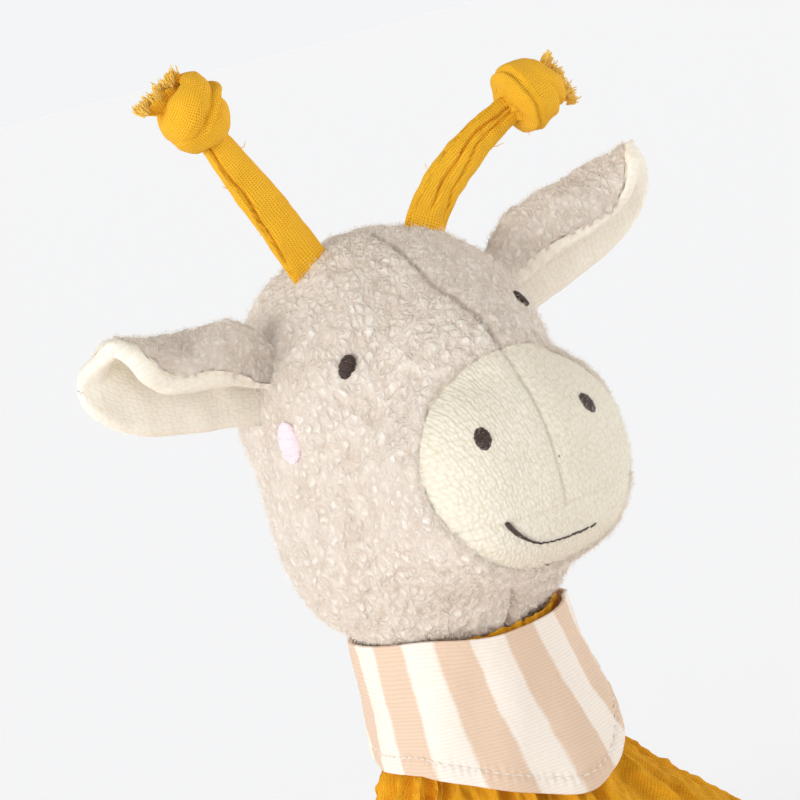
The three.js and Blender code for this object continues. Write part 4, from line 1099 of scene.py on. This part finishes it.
# Unfolded drape: radius and height by distance over the cloth.
def drapeLine():
    distances = np.arange(blanket["hole"], blanket["side"], 0.5)
    radius, up = blanket["hole"], blanket["shoulder"]
    line = []
    for distance in distances:
        line.append((distance, radius, up))
        spread = smooth(*blanket["spread"], distance)
        steep = math.radians(90 - blanket["steepTop"] - spread * (blanket["steep"] - blanket["steepTop"]))
        down = smooth(blanket["turnStart"], blanket["turnStart"] + blanket["turnLength"], distance)
        level = smooth(blanket["floorStart"], blanket["floorStart"] + blanket["landing"], distance)
        slope = steep * down * (1 - level)
        radius = radius + math.cos(slope) * 0.5
        up = up - math.sin(slope) * 0.5
    return np.array(line)


drape = drapeLine()


# Middle of the cloth with its folds, as radius and floor height turned into points.
def clothPoint(turn, share):
    power = blanket["softness"]
    spread = np.abs(np.cos(turn)) ** power + np.abs(np.sin(turn)) ** power
    reach = blanket["side"] / 2 / spread ** (1 / power)
    distance = blanket["hole"] + share * (reach - blanket["hole"])
    radius = np.interp(distance, drape[:, 0], drape[:, 1])
    up = np.interp(distance, drape[:, 0], drape[:, 2])
    floor = blanket["floorStart"]
    grown = smooth(blanket["foldStart"], floor, distance)
    settled = 1 - 0.75 * smooth(floor, floor + 52, distance)
    around = turn - math.radians(blanket["crest"])
    wave = np.cos(blanket["folds"] * around)
    folded = radius + blanket["depth"] * wave * grown * settled
    small = 1.3 * np.sin(23 * around + 2 * np.sin(3 * around))
    small = small + 0.9 * np.sin(41 * around + 1.3 * np.sin(5 * around))
    hung = smooth(12, 40, distance) * (1 - 0.9 * smooth(floor - 4, floor + 20, distance))
    fromLeft = np.angle(np.exp(1j * (turn - math.radians(blanket["swingAt"]))))
    swung = blanket["swing"] * groove(fromLeft, 0.45) * smooth(34, 64, distance)
    swung = swung * (1 - smooth(85, 125, distance))
    folded = folded + small * hung + swung
    return np.stack([folded * np.cos(turn), folded * np.sin(turn), up - neckHeight], -1), distance


def makeBlanket():
    columns = 760
    turn = ringAngles(columns)
    # rows of points out along the upper face, then back along the lower one
    upper, lower = 190, 110
    share = np.concatenate([np.linspace(0, 1, upper) ** 0.9, np.linspace(1, 0, lower) ** 0.9])[None, :]
    face = np.concatenate([np.ones(upper), -np.ones(lower)])[None, :]
    share = np.broadcast_to(share, (columns, upper + lower))
    middle, distance = clothPoint(turn, share)
    step = 0.002
    along = clothPoint(turn, share + step)[0] - clothPoint(turn, share - step)[0]
    across = clothPoint(turn + step, share)[0] - clothPoint(turn - step, share)[0]
    normals = normalize(np.cross(across, along))
    normals = np.where(normals[..., 2:3] < 0, -normals, normals)
    flat = stacked(distance * np.cos(turn), distance * np.sin(turn), 0.0)
    # crinkles of double gauze: short ridges, longer one way than the other
    crinkle = noiseField(flat * np.array([1, 0.42, 1]), 2.1, 6)
    crinkle = crinkle + 0.6 * noiseField(flat * np.array([1, 0.5, 1]), 1.1, 9)
    soft = noiseField(flat, 16, 12)
    ground = smooth(1.2, 6, middle[..., 2] + neckHeight)
    lift = 0.5 * crinkle + 0.5 * soft * ground
    half = blanket["thickness"] / 2 * np.clip((1 - share) * 60, 0.1, 1)
    # the upper face of the CAD cloth is the reference, the lower face rests on the floor
    skin = middle + normals * (lift - 0.85 + face * half)[..., None]
    skin[..., 2] = np.maximum(skin[..., 2], 0.12 - neckHeight + (face > 0) * (0.5 + 0.35 * crinkle))
    obj = gridObject("blanket_gauze", skin, flat[..., :2], crinkledGauze, wraps=True)
    joinFrame(obj, "blanket", "gauze", "blanket")
    return obj


# Rolled hem round the cloth, puckered by its stitches, which stand 3.2 mm apart.
hemRoll = {"radius": 1.35, "stitch": 3.2, "pucker": 0.12, "out": 0.9, "up": 1.4}


def makeHem():
    columns, rows = 1400, 12
    turn = ringAngles(columns)
    middle = clothPoint(turn, np.ones_like(turn))[0]
    out = np.concatenate([np.cos(turn), np.sin(turn), 0 * turn], 1)[:, None, :]
    middle = middle + out * hemRoll["out"]
    middle[..., 2] = hemRoll["up"] - neckHeight
    step = np.linalg.norm(np.roll(middle, -1, 0) - middle, axis=-1)
    run = np.concatenate([[0], np.cumsum(step[:, 0])[:-1]])[:, None]
    v = np.linspace(0, 2 * math.pi, rows + 1)[None, :]
    pucker = hemRoll["pucker"] * np.sin(run * 2 * math.pi / hemRoll["stitch"])
    roll = hemRoll["radius"] * (1 + pucker + 0.10 * noiseField(middle, 6, 3))
    skin = middle + out * (roll * np.cos(v))[..., None]
    skin = skin + np.array([0, 0, 1.0]) * (roll * np.sin(v))[..., None]
    skin[..., 2] = np.maximum(skin[..., 2], 0.1 - neckHeight)
    obj = gridObject("blanket_rolled_hem", skin, stacked(run, v * 1.4), crinkledGauze, wraps=True)
    joinFrame(obj, "blanket", "gauze", "blanket_hem")
    return obj


print("stage: head")
makeHeadFleece()
makeMuzzle()
for side, name in ((-1, "right"), (1, "left")):
    makeStitches("eye_stitches_" + name, "eye_" + name, side, eyes, brownThread, 40 + side)
    makeStitches("nostril_stitches_" + name, "nostril_" + name, side, nostrils, brownThread, 50 + side)
    makeStitches("cheek_stitches_" + name, "cheek_patch_" + name, side, cheeks, pinkThread, 60 + side)
makeMouth()
print("stage: ears and horns")
for side, name in ((-1, "right"), (1, "left")):
    makeEar(side, name)
    makeHorn(side, name)
print("stage: neck and cloth")
makeGather()
makeNeckerchief()
makeTie()
cloth = makeBlanket()
hem = makeHem()

# Camera: 28 degrees round to the toy's right and 12 degrees up, rolled as the photograph is; scale is
# millimetres for one pixel, and pixel is where the target lies in the picture.
camera = {"azimuth": 28.0, "elevation": 12.0, "roll": 14.7, "distance": 650.0, "scale": 0.22,
          "target": (0.0, 0.0, neckHeight), "pixel": (459.2, 626.5), "picture": 800, "sensor": 36}


def makeCamera():
    a = math.radians(camera["azimuth"])
    e = math.radians(camera["elevation"])
    r = math.radians(camera["roll"])
    right = Vector((math.cos(a), -math.sin(a), 0))
    up = Vector((math.sin(e) * math.sin(a), math.sin(e) * math.cos(a), math.cos(e)))
    back = Vector((-math.sin(a) * math.cos(e), -math.cos(a) * math.cos(e), math.sin(e)))
    focal = camera["distance"] / camera["scale"]
    rolledRight = math.cos(r) * right - math.sin(r) * up
    rolledUp = math.sin(r) * right + math.cos(r) * up
    dx, dy = (place - camera["picture"] / 2 for place in camera["pixel"])
    ahead = (-back * focal - rolledRight * dx + rolledUp * dy).normalized()
    newRight = ahead.cross(rolledUp).normalized()
    newUp = newRight.cross(ahead).normalized()
    data = bpy.data.cameras.new("camera")
    data.sensor_width = camera["sensor"]
    data.lens = focal / camera["picture"] * camera["sensor"]
    data.clip_start, data.clip_end = 0.05, 50
    obj = bpy.data.objects.new("camera", data)
    bpy.context.scene.collection.objects.link(obj)
    spot = Vector(camera["target"]) + back * camera["distance"]
    obj.location = spot * mm
    turn = Matrix((newRight, newUp, -ahead)).transposed()
    obj.rotation_euler = turn.to_euler()
    bpy.context.scene.camera = obj


# Studio: pale floor under an even sky, with wide soft suns so that the floor keeps one tone. Each sun has
# the direction from the toy to it, its strength and its width in degrees.
studio = {"floor": "#edf0f5", "glow": 0.318, "background": "#f4f5f7",
          "bright": (1.72, 1.75, 1.77), "dim": (0.21, 0.182, 0.152), "from": (-0.5, -0.12, -0.86),
          "suns": (("key", (-1.0, -0.22, 0.04), 2.3, 35), ("fill", (1.0, -0.25, 0.035), 2.4, 60))}


def makeStudio():
    floor, _, shader = clothMaterial("pale floor", 0.95, 0.0)
    shader.inputs["Base Color"].default_value = hexColor(studio["floor"])
    shader.inputs["Emission Color"].default_value = (1, 1, 1, 1)
    shader.inputs["Emission Strength"].default_value = studio["glow"]
    bpy.ops.mesh.primitive_plane_add(size=60, location=(0, 0, 0))
    plane = bpy.context.object
    plane.name = "floor"
    plane.data.materials.append(floor)
    world = bpy.data.worlds.new("studio")
    bpy.context.scene.world = world
    world.use_nodes = True
    tree = world.node_tree
    tree.nodes.clear()
    # the sky is brighter and cooler on the side of the key light, as round a big softbox
    way = addNode(tree, "ShaderNodeTexCoord").outputs["Generated"]
    share = addNode(tree, "ShaderNodeVectorMath", {
        0: way, 1: Vector(studio["from"]).normalized()[:]}, operation="DOT_PRODUCT").outputs["Value"]
    level = addNode(tree, "ShaderNodeMapRange", {"Value": share, "From Min": -1.0, "From Max": 1.0})
    glow = addNode(tree, "ShaderNodeMix", {
        0: level.outputs["Result"], 6: (*studio["dim"], 1), 7: (*studio["bright"], 1)}, data_type="RGBA",
        clamp_result=False)
    light = addNode(tree, "ShaderNodeBackground", {"Color": glow.outputs[2], "Strength": 1.0})
    seen = addNode(tree, "ShaderNodeBackground", {"Color": hexColor(studio["background"]), "Strength": 1.0})
    path = addNode(tree, "ShaderNodeLightPath")
    mix = addNode(tree, "ShaderNodeMixShader", {
        0: path.outputs["Is Camera Ray"], 1: light.outputs[0], 2: seen.outputs[0]})
    addNode(tree, "ShaderNodeOutputWorld", {"Surface": mix.outputs[0]})
    for name, place, power, width in studio["suns"]:
        data = bpy.data.lights.new(name, "SUN")
        data.energy = power
        data.angle = math.radians(width)
        lamp = bpy.data.objects.new(name, data)
        lamp.location = place
        lamp.rotation_euler = (-Vector(place)).to_track_quat("-Z", "Y").to_euler()
        bpy.context.scene.collection.objects.link(lamp)


print("stage: camera and studio")
makeCamera()
makeStudio()
bpy.context.scene.view_settings.view_transform = "Standard"
bpy.context.view_layer.update()
